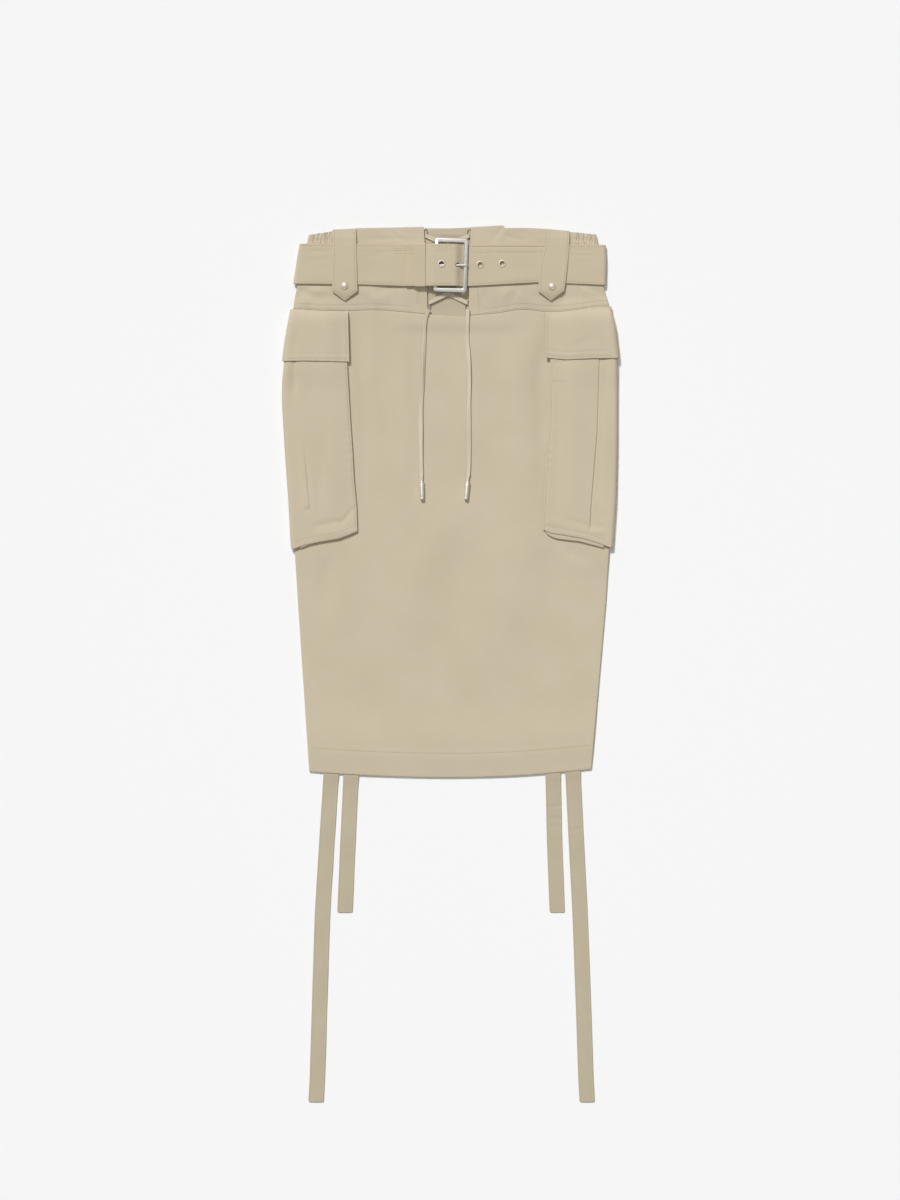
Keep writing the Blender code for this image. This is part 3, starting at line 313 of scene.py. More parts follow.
def front_top(x, y):
    """Height of the front's upper face, over the hollow, the underlap and the folds."""
    beside_opening = 1 - ease(*FRONT_BESIDE_UNDERLAP, abs(x - LACING_MIDDLE))
    underlap = UNDERLAP_RISE * beside_opening * ease(*FRONT_OVER_UNDERLAP, y)
    under_belt = ease(*FRONT_UNDER_BELT, y)
    folds = np.minimum(soft_folds(FOLDS, x, y), FOLD_LIMIT)
    return back_lift(x, y) + 2 * WALL + HOLLOW + underlap + (1 - under_belt) * folds


def side_turn(f):
    """How far a column has turned down to the side: none across the flat, a quarter turn at 1 past it."""
    return math.pi / 2 * np.maximum(np.maximum(-f, f - 1), 0)


def front_face(f, y, flat_from, flat_to, relief=None):
    """The front's upper face: f from 0 to 1 crosses the flat, and past either end turns down the side."""
    x = flat_from + (flat_to - flat_from) * np.clip(f, 0, 1)
    turn = side_turn(f)
    out = SIDE_ROUND * np.sin(turn) * np.where(f > 0.5, 1, -1)
    z = front_top(x, y) - SIDE_ROUND * (1 - np.cos(turn))
    if relief is not None:
        z = z + relief(x, y) * np.cos(turn)
    return x + out, y, z


def back_face(f, y, flat_from, flat_to):
    """The back's underside, which turns up to the side seams as the front turns down."""
    x = flat_from + (flat_to - flat_from) * np.clip(f, 0, 1)
    turn = side_turn(f)
    out = SIDE_ROUND * np.sin(turn) * np.where(f > 0.5, 1, -1)
    return x + out, y, back_lift(x, y) + SIDE_ROUND * (1 - np.cos(turn))


def spread(*stops):
    """Numbers from each stop to the next: a stop, how many steps, a stop, and so on."""
    values = [np.array([stops[0]], float)]
    for start, steps, end in zip(stops[::2], stops[1::2], stops[2::2]):
        values.append(np.linspace(start, end, steps + 1)[1:])
    return np.concatenate(values)


def cloth(name, columns, rows, place, wall, inward=-1, edge=0.28, ring=False):
    """A cut piece: a grid moved to its outer face, with UVs along its threads, made a thin wall."""
    bpy.ops.object.select_all(action="DESELECT")
    bpy.ops.mesh.primitive_grid_add(x_subdivisions=len(columns) - 1, y_subdivisions=len(rows) - 1, size=2)
    piece = bpy.context.object
    piece.name = name
    mesh = piece.data
    mesh.name = name
    spots = np.empty(len(mesh.vertices) * 3)
    mesh.vertices.foreach_get("co", spots)
    spots = spots.reshape(-1, 3)
    across = np.rint((spots[:, 0] + 1) / 2 * (len(columns) - 1)).astype(int)
    along = np.rint((spots[:, 1] + 1) / 2 * (len(rows) - 1)).astype(int)
    points = np.stack(place(columns[across], rows[along]), axis=-1) * MM
    mesh.vertices.foreach_set("co", points.ravel())
    net = np.empty((len(rows), len(columns), 3))
    net[along, across] = points
    run_across = np.linalg.norm(np.diff(net, axis=1), axis=2).cumsum(axis=1)
    run_along = np.linalg.norm(np.diff(net, axis=0), axis=2).cumsum(axis=0)
    run_across = np.pad(run_across, ((0, 0), (1, 0)))
    run_along = np.pad(run_along, ((1, 0), (0, 0)))
    corners = np.empty(len(mesh.loops), int)
    mesh.loops.foreach_get("vertex_index", corners)
    threads = np.stack((run_across[along, across], run_along[along, across]), axis=-1)[corners]
    mesh.uv_layers["UVMap"].data.foreach_set("uv", threads.ravel())
    mesh.update()
    if ring:
        bpy.ops.object.mode_set(mode="EDIT")
        bpy.ops.mesh.select_all(action="SELECT")
        bpy.ops.mesh.remove_doubles(threshold=0.00002)
        bpy.ops.object.mode_set(mode="OBJECT")
    thickness = piece.modifiers.new("wall", "SOLIDIFY")
    thickness.thickness = wall * MM
    thickness.offset = inward
    thickness.use_even_offset = True
    bpy.ops.object.modifier_apply(modifier=thickness.name)
    soften_edges(piece, edge)
    return piece


def soften_edges(piece, edge, angle=55):
    """Rounds a piece's sharp edges a little, and shades it smooth."""
    bpy.context.view_layer.objects.active = piece
    piece.select_set(True)
    bevel = piece.modifiers.new("edge", "BEVEL")
    bevel.width = edge * MM
    bevel.segments = 2
    bevel.limit_method = "ANGLE"
    bevel.angle_limit = math.radians(angle)
    bevel.use_clamp_overlap = True
    bpy.ops.object.modifier_apply(modifier=bevel.name)
    bpy.ops.object.shade_smooth()


def dress(piece, material, slot, *nodes):
    """Gives a piece its material and body, and hides the solids that it stands for. The slot is not used."""
    piece.data.materials.clear()
    piece.data.materials.append(material)
    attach(piece, "root")
    if nodes:
        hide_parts(*nodes)
    return piece


def flat_ends(y):
    """Where the flat ends on the left and on the right, before the sides turn down."""
    return body_side("left", y) + SIDE_ROUND, body_side("right", y) - SIDE_ROUND


def x_across(f, y, from_edge, to_edge):
    """Where a column of the front crosses a level, between the sides or an edge of the opening."""
    edges = []
    for edge in (from_edge, to_edge):
        if edge.startswith("opening"):
            edges.append(read(OPENING, "y", edge.split("_")[1], y))
        else:
            edges.append(body_side(edge, y) + SIDE_ROUND * (1 if edge == "left" else -1))
    return edges[0] + (edges[1] - edges[0]) * np.clip(f, 0, 1)


def seam_puckers(x, y):
    """Short puckers beside the yoke seam, uneven in length."""
    wave = np.sin(x * 0.42 + 1.3 * np.sin(x * 0.071)) + 0.6 * np.sin(x * 0.93 + 2.0)
    away = np.abs(y - seam_y(x))
    length = 7 + 5 * np.sin(x * 0.05)
    return 0.16 * wave * np.exp(-away / length)


def hem_relief(x, y):
    """The hem's turned-up layer, a little proud, with a shallow row where it is sewn."""
    up = y - hem_y(x)
    ripple = 0.10 * np.sin(x * 0.35 + 1.1 * np.sin(x * 0.05)) * bell(up, HEM_TURN, 9)
    double = 0.4 * (1 - ease(HEM_TURN, HEM_TURN + 3, up)) - 0.3 * bell(up, HEM_TURN - 2, 2.2)
    swell = 1.5 * bell(up, 46, 30)
    roll = -1.3 * (1 - ease(-14, 30, up))
    return double + swell + roll + ripple


def front_relief(x, y):
    """The front's finer creases, of which only the hollows run on under the pockets."""
    clear = 1 - ease(112, 128, abs(x)) * ease(150, 190, y) * (1 - ease(438, 452, y))
    away_from_lacing = 1 - 0.8 * (1 - ease(18, 30, abs(x + 34))) * ease(430, 445, y)
    fine = soft_folds(FINE_CREASES, x, y) * away_from_lacing * (1 - ease(*FRONT_UNDER_BELT, y))
    fine = np.minimum(fine, 0) + np.maximum(fine, 0) * clear
    drift = 0.22 * np.sin(x * 0.045 + 0.8) * np.sin(y * 0.021 + x * 0.012) * clear
    return fine + drift + 1.3 * seam_puckers(x, y) * clear


def front_panel_place(f, v):
    low = hem_y(x_across(f, np.full_like(f, HEM_LOW), "left", "right"))
    high = seam_y(x_across(f, np.full_like(f, SEAM_Y), "left", "right")) - SEAM_GAP / 2
    y = low + (high - low) * v
    return front_face(f, y, *flat_ends(y), lambda x, y: front_relief(x, y) + hem_relief(x, y))


def back_panel_place(f, v):
    low = hem_y(x_across(f, np.full_like(f, HEM_LOW), "left", "right")) + 1.0
    y = low + (BACK_SEAM_Y - SEAM_GAP / 2 - low) * v
    return back_face(f, y, *flat_ends(y))


front_panel = cloth(
    "front_panel_cloth",
    spread(-1, 6, 0, 132, 1, 6, 2),
    spread(0, 16, 0.065, 170, 1),
    front_panel_place,
    WALL,
)
dress(front_panel, shell_twill, "shell", "front_panel")
back_panel = cloth(
    "back_panel_cloth",
    spread(-1, 5, 0, 90, 1, 5, 2),
    spread(0, 10, 0.065, 100, 1),
    back_panel_place,
    WALL,
    inward=1,
)
dress(back_panel, shell_twill, "shell", "back_panel")

# Yokes
# The skirt's upper part: two front yokes that leave a gap for the lacing, and a back yoke. The waist's ends
# are drawn in by elastic in a narrow casing, so the cloth there stands in small uneven gathers.
WAIST_Y = 564.0
TopPoint = namedtuple("TopPoint", "x y")
WAIST_TOP = table_of(
    TopPoint,
    (-184, 556), (-157, 560), (-144, 563.5), (-118, 565), (-35, 566.5), (24, 566), (68, 568.4),
    (70.5, 565), (100, 565.4), (129, 563.8), (155, 560), (189, 556.5),
)
Opening = namedtuple("Opening", "y left right")
OPENING = (
    Opening(567, -34.6, 26.3),
    Opening(491, -31.0, 24.0),
    Opening(450, -29.5, 23.3),
)
GATHER_PITCH = 3.25
GATHER_DEPTH = 1.495
CASING_DOWN = 8.5
GATHER_LEFT = -151.0
GATHER_RIGHT = 154.0
YOKE_GATHERS = Zone(500, 530)
CREASES_ABOVE_BELT = Zone(544, 549)
WAIST_CREASES = table_of(
    Fold,
    (-74, 560, -66, 549, -0.7, 2.0), (-66, 561, -60, 552, 0.5, 2.2), (-60, 559, -50, 550, -0.6, 1.8),
    (-58, 553, -48, 553, 0.4, 1.6), (-78, 556, -70, 548, 0.6, 1.6), (-48, 560, -42, 551, -0.5, 1.6),
    (-118, 552, -36, 549.5, -0.7, 1.5), (69, 568, 52, 546, -0.7, 3.4), (74, 566, 60, 546, 0.4, 5.0),
    (70, 556, 96, 549, -0.8, 2.6), (84, 562, 108, 554, -0.6, 3.6), (100, 560, 122, 548, 0.5, 4.0),
    (38, 561, 38, 552, -0.3, 0.9), (30, 562, 32, 548, -0.5, 1.5), (44, 560, 50, 553, -0.4, 1.4),
    (-104, 560, -92, 548, -0.5, 4.0),
)


def yoke_relief(x, y):
    """Gathers at the waist's ends, and the small creases between the belt and the waist's edge."""
    left = ease(GATHER_LEFT, GATHER_LEFT - 5, x)
    right = ease(GATHER_RIGHT, GATHER_RIGHT + 5, x)
    gathered = np.where(x < 0, left, right)
    phase = x / GATHER_PITCH + 0.3 * np.sin(x * 0.31)
    phase = phase + 0.3 * np.sin(y * 0.23 + x * 0.4) + 0.14 * np.sin(y * 0.9 + x)
    wave = (0.5 + 0.5 * np.cos(2 * math.pi * phase)) ** 1.4
    uneven = 0.8 + 0.35 * np.sin(x * 0.77 + 1.0) + 0.25 * np.sin(x * 1.9 + y * 0.5)
    height = GATHER_DEPTH * uneven * gathered * wave * ease(*YOKE_GATHERS, y)
    casing = 0.6 * bell(y, read(WAIST_TOP, "x", "y", x) - CASING_DOWN, 1.1) * gathered
    creases = ridges(WAIST_CREASES, x, y) * ease(*CREASES_ABOVE_BELT, y)
    return height - casing + creases + front_relief(x, y) * (1 - ease(*FRONT_UNDER_BELT, y))


def yoke_place(side):
    from_edge, to_edge = ("left", "opening_left") if side == "left" else ("opening_right", "right")

    def place(f, v):
        low = seam_y(x_across(f, np.full_like(f, SEAM_Y), from_edge, to_edge)) + SEAM_GAP / 2
        high = read(WAIST_TOP, "x", "y", x_across(f, np.full_like(f, WAIST_Y), from_edge, to_edge))
        y = low + (high - low) * v
        edge = read(OPENING, "y", side, y)
        flat_left, flat_right = flat_ends(y)
        ends = (flat_left, edge) if side == "left" else (edge, flat_right)
        return front_face(f, y, *ends, yoke_relief)

    return place


def back_yoke_place(f, v):
    low = BACK_SEAM_Y + SEAM_GAP / 2
    high = read(WAIST_TOP, "x", "y", x_across(f, np.full_like(f, WAIST_Y), "left", "right"), blur=12) - 1.0
    y = low + (high - low) * v
    return back_face(f, y, *flat_ends(y))


yoke_rows = spread(0, 44, 1)
yoke_left = cloth(
    "front_yoke_left_cloth", spread(-1, 6, 0, 100, 0.205, 56, 1), yoke_rows, yoke_place("left"), WALL
)
dress(yoke_left, shell_twill, "shell", "front_yoke_left")
yoke_right = cloth(
    "front_yoke_right_cloth",
    spread(0, 14, 0.23, 16, 0.3, 34, 0.805, 96, 1, 6, 2),
    yoke_rows,
    yoke_place("right"),
    WALL,
)
dress(yoke_right, shell_twill, "shell", "front_yoke_right")
back_yoke = cloth(
    "back_yoke_cloth", spread(-1, 5, 0, 90, 1, 5, 2), spread(0, 26, 1), back_yoke_place, WALL, inward=1
)
dress(back_yoke, shell_twill, "shell", "back_yoke")

# Underlap
# A plain piece of the twill behind the lacing, sewn inside the left yoke, so that the gap shows cloth. Its
# twill is a darker, warmer copy of the shell's, which paints in the shade of the gap behind the lacing.
UNDERLAP_LEFT = -50.0
UNDERLAP_RIGHT = 69.0
UNDERLAP_TUCK = 8.0
UNDERLAP_TOP = 562.6
UNDERLAP_TOP_SLOPE = 5.6
UNDERLAP_CREASES = table_of(
    Fold,
    (10.3, 466, 10.3, 452, -0.22, 0.9), (-19, 553.6, 20, 552.8, -0.9, 1.5),
    (-16, 557.5, 18, 557.0, 0.35, 2.0), (-20, 545, 20, 547, -0.3, 2.2),
)


def underlap_place(f, v):
    x = UNDERLAP_LEFT + (UNDERLAP_RIGHT - UNDERLAP_LEFT) * f
    low = seam_y(x) - UNDERLAP_TUCK
    y = low + (UNDERLAP_TOP + UNDERLAP_TOP_SLOPE * f - low) * v
    return x, y, back_lift(x, y) + WALL + GAP + WALL + ridges(UNDERLAP_CREASES, x, y)


underlap = cloth("lacing_underlap_cloth", spread(0, 90, 1), spread(0, 70, 1), underlap_place, WALL)
dress(underlap, underlap_shaded_twill, "shell", "lacing_underlap")

# Cargo pockets
# Each pocket is a tall patch that wraps round the side, raised on a folded gusset strip along its inner and
# lower edges, with a pleat near its outer side and a hemmed flap over its mouth.
LAYER_GAP = 0.5
GUSSET_WALL = 1.0
GUSSET_SLOT = 0.6
GUSSET_DEPTH = 14.0
BEND_END = 0.28
POCKET_TOP = 438.0
POCKET_RISE = LAYER_GAP + 2 * GUSSET_WALL + GUSSET_SLOT + GAP
POCKET_BACK_END = 174.0
PocketEdge = namedtuple("PocketEdge", "y left right")
POCKET_INNER = table_of(
    PocketEdge,
    (440, -134.5, 129.4), (390, -134.2, 129.2), (310, -129.7, 127.9), (278, -127.3, 124.3),
    (237, -125.2, 122.0), (206, -122.0, 120.0), (168, -120.7, 119.2),
)
POCKET_OUTLINE = table_of(
    PocketEdge,
    (440, -209.2, 211.0), (414, -213.4, 214.0), (394, -215.6, 216.0), (388, -216.0, 216.2),
    (368, -218.6, 216.6), (340, -219.0, 216.6), (278, -215.3, 216.4), (213, -210.7, 215.0),
    (160, -207.7, 211.5), (145, -206.8, 210.5),
)
PocketBottom = namedtuple("PocketBottom", "across left right gusset_left gusset_right")
POCKET_BOTTOM = table_of(
    PocketBottom,
    (0.00, 172.0, 174.6, 172.6, 165.4), (0.12, 167.6, 169.4, 168.2, 162.6),
    (0.30, 162.2, 167.3, 162.8, 161.6), (0.60, 158.2, 162.6, 158.8, 158.8),
    (0.85, 153.8, 156.0, 154.4, 153.6), (1.00, 149.5, 151.3, 150.1, 150.4),
)
PLEAT_LINE = table_of(
    PocketEdge,
    (440, -200, 193.6), (366, -199.6, 191.4), (300, -192.2, 189.5), (203, -182.6, 181.6),
    (160, -180, 179.4),
)
POCKET_CREASES = {
    "left": table_of(
        Fold,
        (-182.6, 202, -189, 198, -0.9, 1.8), (-181, 250, -176, 205, 0.5, 5.0),
        (-200, 368, -210, 344, -0.6, 5.0), (-190, 392, -190, 350, 0.5, 7.0),
        (-176, 178, -150, 184, -1.0, 3.4), (-150, 184, -140, 184, -1.0, 3.0),
        (-140, 184, -125, 202, -0.9, 3.0), (-170, 166, -134, 172, 0.7, 4.0),
        (-150, 380, -146, 220, 0.6, 14.0), (-160, 330, -172, 210, -0.4, 8.0),
    ),
    "right": table_of(
        Fold,
        (180, 176.8, 205, 176.4, -0.9, 1.7), (186, 171, 206, 170, 0.6, 3.0),
        (138.6, 404, 138, 268, -0.2, 1.3), (147, 404, 146, 340, -0.2, 1.5),
        (150, 187, 178, 179, -0.7, 3.4), (128, 186, 146, 180, 0.5, 4.0),
        (164, 380, 158, 210, 0.7, 13.0), (203, 360, 198, 200, 0.5, 6.0),
        (140, 300, 136, 200, -0.35, 5.0), (134, 388, 150, 394, -0.4, 2.6),
    ),
}


def wrapped(s, top, inner, outline, under, sign):
    """A section that crosses the front to the side, turns round it and runs back underneath.

    s from 0 to 1 crosses the front, 1 to 2 turns round the side and 2 to 3 runs under the back.
    """
    radius = (top(outline - sign * 5) - under) / 2
    turn_x = outline - sign * radius
    front_x = inner + (turn_x - inner) * np.minimum(s, 1)
    settle = ease(0.88, 1, s)
    front_z = top(front_x) * (1 - settle) + (under + 2 * radius) * settle
    angle = math.pi * np.clip(s - 1, 0, 1)
    round_x = turn_x + sign * radius * np.sin(angle)
    back_x = turn_x + (sign * POCKET_BACK_END - turn_x) * (s - 2)
    x = np.select([s <= 1, s <= 2], [front_x, round_x], back_x)
    z = np.select([s <= 1, s <= 2], [front_z, under + radius * (1 + np.cos(angle))], under)
    return x, z


def pocket_relief(side, sign, x, y):
    """The pleat's step, the creases, the sewn inner edge and its puckers."""
    line = read(PLEAT_LINE, "y", side, y)
    outside = sign * (x - line)
    if side == "right":
        sharp = ease(172, 182, y) * (0.75 + 0.25 * ease(330, 250, y))
        step = -1.3 * ease(-0.2, 1.1, outside) * (1 - ease(4, 26, outside)) * sharp
        groove = -0.8 * bell(outside, 0.7, 0.9) * sharp
    else:
        low_pleat = ease(197, 204, y) * (1 - ease(240, 300, y))
        high_pleat = ease(340, 372, y)
        step = 1.0 * ease(-0.3, 0.9, outside) * (1 - ease(2, 12, outside)) * low_pleat
        groove = -1.1 * ease(-1.2, 3.0, outside) * (1 - ease(5, 22, outside)) * high_pleat
    from_edge = sign * (x - read(POCKET_INNER, "y", side, y, blur=10))
    wave = np.sin(y * 0.62 + 1.4 * np.sin(y * 0.083)) * (0.55 + 0.45 * np.sin(y * 0.047 + 1.0))
    puckers = 0.2 * wave * bell(from_edge, 4, 6.5)
    sewn = -0.28 * bell(from_edge, 2.4, 1.3)
    rolled = -0.5 * (1 - ease(0, 2.2, from_edge))
    sway = 0.35 * np.sin(y * 0.028 + x * 0.03) * ease(8, 30, from_edge)
    return step + groove + ridges(POCKET_CREASES[side], x, y) + puckers + sewn + rolled + sway


def pocket_place(side, sign):
    def place(s, v):
        low = read(POCKET_BOTTOM, "across", side, np.minimum(s, 1.0))
        y = low + (POCKET_TOP - low) * v
        under = (FLAP_WALL + GAP) * ease(*BACK_OVER_FLAPS, y)
        inner = read(POCKET_INNER, "y", side, y, blur=10)
        outline = read(POCKET_OUTLINE, "y", side, y, blur=8)
        x, z = wrapped(s, lambda at: front_top(at, y) + POCKET_RISE + WALL, inner, outline, under, sign)
        on_top = 1 - ease(0.86, 1.0, s)
        up = y - read(POCKET_BOTTOM, "across", side, np.minimum(s, 1.0), blur=0.05)
        hem = -0.12 * bell(up, 9, 1.6) - 0.4 * (1 - ease(0, 2.0, up))
        return x, y, z + on_top * (pocket_relief(side, sign, x, y) + hem)

    return place


FLAP_TOP = 460.0
FLAP_SIDES = table_of(
    PocketEdge,
    (460, -207.5, 208.8), (437, -212.2, 214.2), (412, -216.4, 217.0), (392, -218.6, 219.0),
)
FLAP_INNER = (
    PocketEdge(460, -132.9, 123.6),
    PocketEdge(430, -132.2, 122.6),
    PocketEdge(392, -131.2, 123.0),
)
FlapBottom = namedtuple("FlapBottom", "across left right")
FLAP_BOTTOM = table_of(
    FlapBottom,
    (0.0, 391.4, 396.6), (0.3, 391.8, 394.0), (0.7, 392.4, 395.6), (1.0, 392.2, 396.0),
)
FLAP_CREASES = {
    "left": (
        Fold(-178, 446, -150, 410, 0.5, 9.0),
        Fold(-200, 430, -206, 402, -0.5, 5.0),
        Fold(-146, 440, -140, 404, -0.35, 4.0),
    ),
    "right": (
        Fold(150, 444, 176, 410, 0.5, 9.0),
        Fold(196, 436, 204, 404, -0.5, 5.0),
        Fold(158, 412, 184, 420, -0.4, 5.0),
    ),
}


def flap_place(side, sign):
    def place(s, v):
        inner_top = read(FLAP_INNER, "y", side, FLAP_TOP)
        outer_top = read(FLAP_SIDES, "y", side, FLAP_TOP)
        across = np.minimum(s, 1.0)
        high = seam_y(inner_top + (outer_top - inner_top) * across) - GAP
        low = read(FLAP_BOTTOM, "across", side, across)
        y = low + (high - low) * v
        inner = read(FLAP_INNER, "y", side, y)
        outline = read(FLAP_SIDES, "y", side, y, blur=5)
        toward_seam = np.clip((y - POCKET_TOP - 1) / (FLAP_TOP - POCKET_TOP - 1), 0, 1)
        climb = (POCKET_RISE + WALL) * (1 - toward_seam**2.6)
        rise = LAYER_GAP + climb + FLAP_WALL
        x, z = wrapped(s, lambda at: front_top(at, y) + rise, inner, outline, np.zeros_like(y), sign)
        from_edge = sign * (x - inner)
        up = y - low
        sewn = -0.22 * bell(from_edge, 3.2, 1.2) - 0.3 * bell(up, 3.4, 1.3)
        sewn = sewn - 0.25 * bell(up, 9.2, 1.3) - 0.35 * (1 - ease(0, 2.0, up))
        wave = 0.12 * np.sin(x * 0.5 + 1.2 * np.sin(x * 0.07)) * bell(up, 6, 6)
        relief = sewn + wave + ridges(FLAP_CREASES[side], x, y) + seam_puckers(x, y)
        return x, y, z + (1 - ease(0.86, 1.0, s)) * relief

    return place


def gusset_place(side, sign):
    """A strip folded in half, its fold inwards, down the pocket's inner edge and along its lower edge."""
    column = "gusset_" + side
    corner_y = float(read(POCKET_BOTTOM, "across", column, 0.0))
    corner_x = float(read(POCKET_INNER, "y", side, corner_y, blur=10))
    far_x = float(read(POCKET_OUTLINE, "y", side, 160.0)) - sign * 13
    fold_radius = GUSSET_WALL + GUSSET_SLOT / 2
    flat = GUSSET_DEPTH - fold_radius
    bend_start_y = corner_y + 16
    bend_start_x = float(read(POCKET_INNER, "y", side, bend_start_y, blur=10)) + sign * 0.5
    bend_end_x = corner_x + (far_x - corner_x) * BEND_END
    bend_end_y = float(read(POCKET_BOTTOM, "across", column, BEND_END))

    def place(along, part):
        down = np.clip(along, 0, 1)
        side_y = POCKET_TOP - 2 + (bend_start_y - POCKET_TOP + 2) * down
        side_x = read(POCKET_INNER, "y", side, side_y, blur=10) + sign * 0.5
        across = BEND_END + (1 - BEND_END) * np.clip(along - 2, 0, 1)
        low_x = corner_x + (far_x - corner_x) * across
        low_y = read(POCKET_BOTTOM, "across", column, across)
        turn = ease(0, 1, np.clip(along - 1, 0, 1))
        first, second, third = (1 - turn) ** 2, 2 * turn * (1 - turn), turn**2
        bend_x = first * bend_start_x + second * (corner_x + sign * 0.5) + third * bend_end_x
        bend_y = first * bend_start_y + second * corner_y + third * bend_end_y
        x = np.select([along <= 1, along <= 2], [side_x, bend_x], low_x)
        y = np.select([along <= 1, along <= 2], [side_y, bend_y], low_y)
        inward_x = sign * np.cos(math.pi / 2 * turn)
        inward_y = np.sin(math.pi / 2 * turn)
        around = math.pi * np.clip(part - 1, 0, 1)
        layers = [part <= 1, part <= 2]
        reach = np.select(layers, [flat * part, flat + fold_radius * np.sin(around)], flat * (3 - part))
        height = np.select(layers, [0 * part, fold_radius * (1 - np.cos(around))], 2 * fold_radius)
        x, y = x + inward_x * reach, y + inward_y * reach
        return x, y, front_top(x, y) + LAYER_GAP + height

    return place


pocket_columns = spread(0, 6, 0.06, 30, 0.66, 48, 0.88, 8, 1, 12, 2, 8, 3)
flap_columns = spread(0, 6, 0.06, 36, 1, 12, 2, 8, 3)
gusset_columns = spread(0, 60, 1, 10, 2, 26, 3)
pockets = {}
flaps = {}
for pocket_side, pocket_sign in (("left", -1), ("right", 1)):
    reverse = -1 if pocket_side == "left" else 1
    pocket = cloth(
        f"pocket_front_{pocket_side}_cloth",
        pocket_columns[::reverse],
        spread(0, 8, 0.04, 96, 1),
        pocket_place(pocket_side, pocket_sign),
        WALL,
    )
    dress(pocket, shell_twill, "shell", "pocket_front_" + pocket_side)
    pockets[pocket_side] = pocket
    flap = cloth(
        f"pocket_flap_{pocket_side}_cloth",
        flap_columns[::reverse],
        spread(0, 10, 0.18, 24, 1),
        flap_place(pocket_side, pocket_sign),
        FLAP_WALL,
    )
    dress(flap, shell_twill, "shell", "pocket_flap_" + pocket_side)
    flaps[pocket_side] = flap
    gusset = cloth(
        f"pocket_gusset_{pocket_side}_cloth",
        gusset_columns,
        spread(0, 4, 1, 8, 2, 4, 3),
        gusset_place(pocket_side, pocket_sign),
        GUSSET_WALL,
        inward=-1 if pocket_side == "left" else 1,
        edge=0.2,
    )
    dress(gusset, shell_twill, "shell", "pocket_gusset_" + pocket_side)

# Belt
# One long strap of the twill round the waist, doubled and topstitched, with holes for the prong. One end is
# folded round the buckle's hidden bar, and the free end goes over it, through the frame and the keeper.
BELT_FRONT_Z = 9.4
BELT_SIDE_DROP = 2.1
BELT_TIP = -49.0
BELT_FOLD_END = -58.0
BeltEdge = namedtuple("BeltEdge", "x top bottom")
BELT_EDGES = table_of(
    BeltEdge,
    (-204, 544.9, 492.8), (-110, 544.3, 491.5), (-60, 543.6, 489.4), (22, 543.3, 489.2),
    (77, 543.6, 492.3), (116, 543.6, 494.6), (202, 543.0, 491.0),
)
BeltEnd = namedtuple("BeltEnd", "y left right")
BELT_ENDS = (
    BeltEnd(545, -195.8, 201.2),
    BeltEnd(524, -199.5, 202.4),
    BeltEnd(491, -204.4, 201.6),
)
BUCKLE_THICK = 2.7
LOOP_END = -15.0
STRAP_DIP_START = 5.0
STRAP_DIP_END = 17.0
STACK_SETTLE_START = -33.0
STACK_SETTLE_END = -22.0
BAR_LOW = BELT_FRONT_Z + BELT_WALL + GAP
BAR_HIGH = BAR_LOW + BUCKLE_THICK
FOLD_UNDER = BAR_HIGH + GAP
TIP_UNDER = FOLD_UNDER + BELT_WALL + GAP
SETTLED_FOLD = BAR_LOW
SETTLED_TIP = SETTLED_FOLD + BELT_WALL + GAP
BELT_CREASES = table_of(
    Fold,
    (-186, 534.5, -158, 535.5, -0.6, 1.8), (-182, 523, -156, 525, -0.45, 1.8),
    (-118, 534, -60, 533, -0.3, 1.6), (-116, 528, -84, 529.5, -0.3, 2.0),
    (30, 540.5, 122, 540.5, -0.3, 1.2), (28, 533.2, 122, 533.4, -0.4, 1.3),
    (155, 536.5, 196, 536, -0.4, 1.5), (155, 529.5, 196, 529, -0.4, 1.5),
    (-40, 533, 8, 532.5, -0.35, 1.3), (76, 500, 120, 505, 0.4, 7.0), (-110, 498, -70, 496, 0.4, 7.0),
    (-196, 508, -160, 502, 0.4, 8.0), (160, 506, 194, 512, 0.4, 8.0), (4, 500, 10, 498, -0.4, 1.4),
    (5, 505, 10, 504, -0.3, 1.2), (2, 536, 9, 537, -0.35, 1.4),
)


def belt_under(x):
    """Height of the belt's inner face along the front, away from the buckle."""
    return BELT_FRONT_Z - BELT_SIDE_DROP * ease(60, 110, abs(x))


def tip_under(x):
    """Height of the free end's inner face: it rises over the bar and settles beyond it."""
    settled = SETTLED_TIP + (TIP_UNDER - SETTLED_TIP) * ease(STACK_SETTLE_START, STACK_SETTLE_END, x)
    dip = ease(STRAP_DIP_START, STRAP_DIP_END, x)
    return settled + (belt_under(x) - settled) * dip


def belt_path(t, y):
    """The belt's outer face as x and z.

    t counts the free end, the right side, the back, the left side, the front, the turn and the fold.
    """
    left = read(BELT_ENDS, "y", "left", y)
    right = read(BELT_ENDS, "y", "right", y)
    radius = (belt_under(right) + BELT_WALL) / 2
    leg = np.minimum(np.floor(t), 6)
    part = t - leg
    angle = math.pi * part
    loop_radius = BUCKLE_THICK / 2 + GAP
    free_x = BELT_TIP + (right - radius - BELT_TIP) * part
    under_x = right - radius + (left - right + 2 * radius) * part
    front_x = left + radius + (LOOP_END - left - radius) * part
    fold_x = LOOP_END + (BELT_FOLD_END - LOOP_END) * part
    settle = ease(STACK_SETTLE_START, STACK_SETTLE_END, fold_x)
    xs = [
        free_x,
        right - radius + radius * np.sin(angle),
        under_x,
        left + radius - radius * np.sin(angle),
        front_x,
        LOOP_END + loop_radius * np.sin(angle),
        fold_x,
    ]
    zs = [
        tip_under(free_x) + BELT_WALL,
        radius + radius * np.cos(angle),
        np.zeros_like(t),
        radius - radius * np.cos(angle),
        belt_under(front_x) + BELT_WALL,
        BAR_LOW - GAP + loop_radius * (1 - np.cos(angle)),
        SETTLED_FOLD + (FOLD_UNDER - SETTLED_FOLD) * settle,
    ]
    return np.choose(leg.astype(int), xs), np.choose(leg.astype(int), zs)


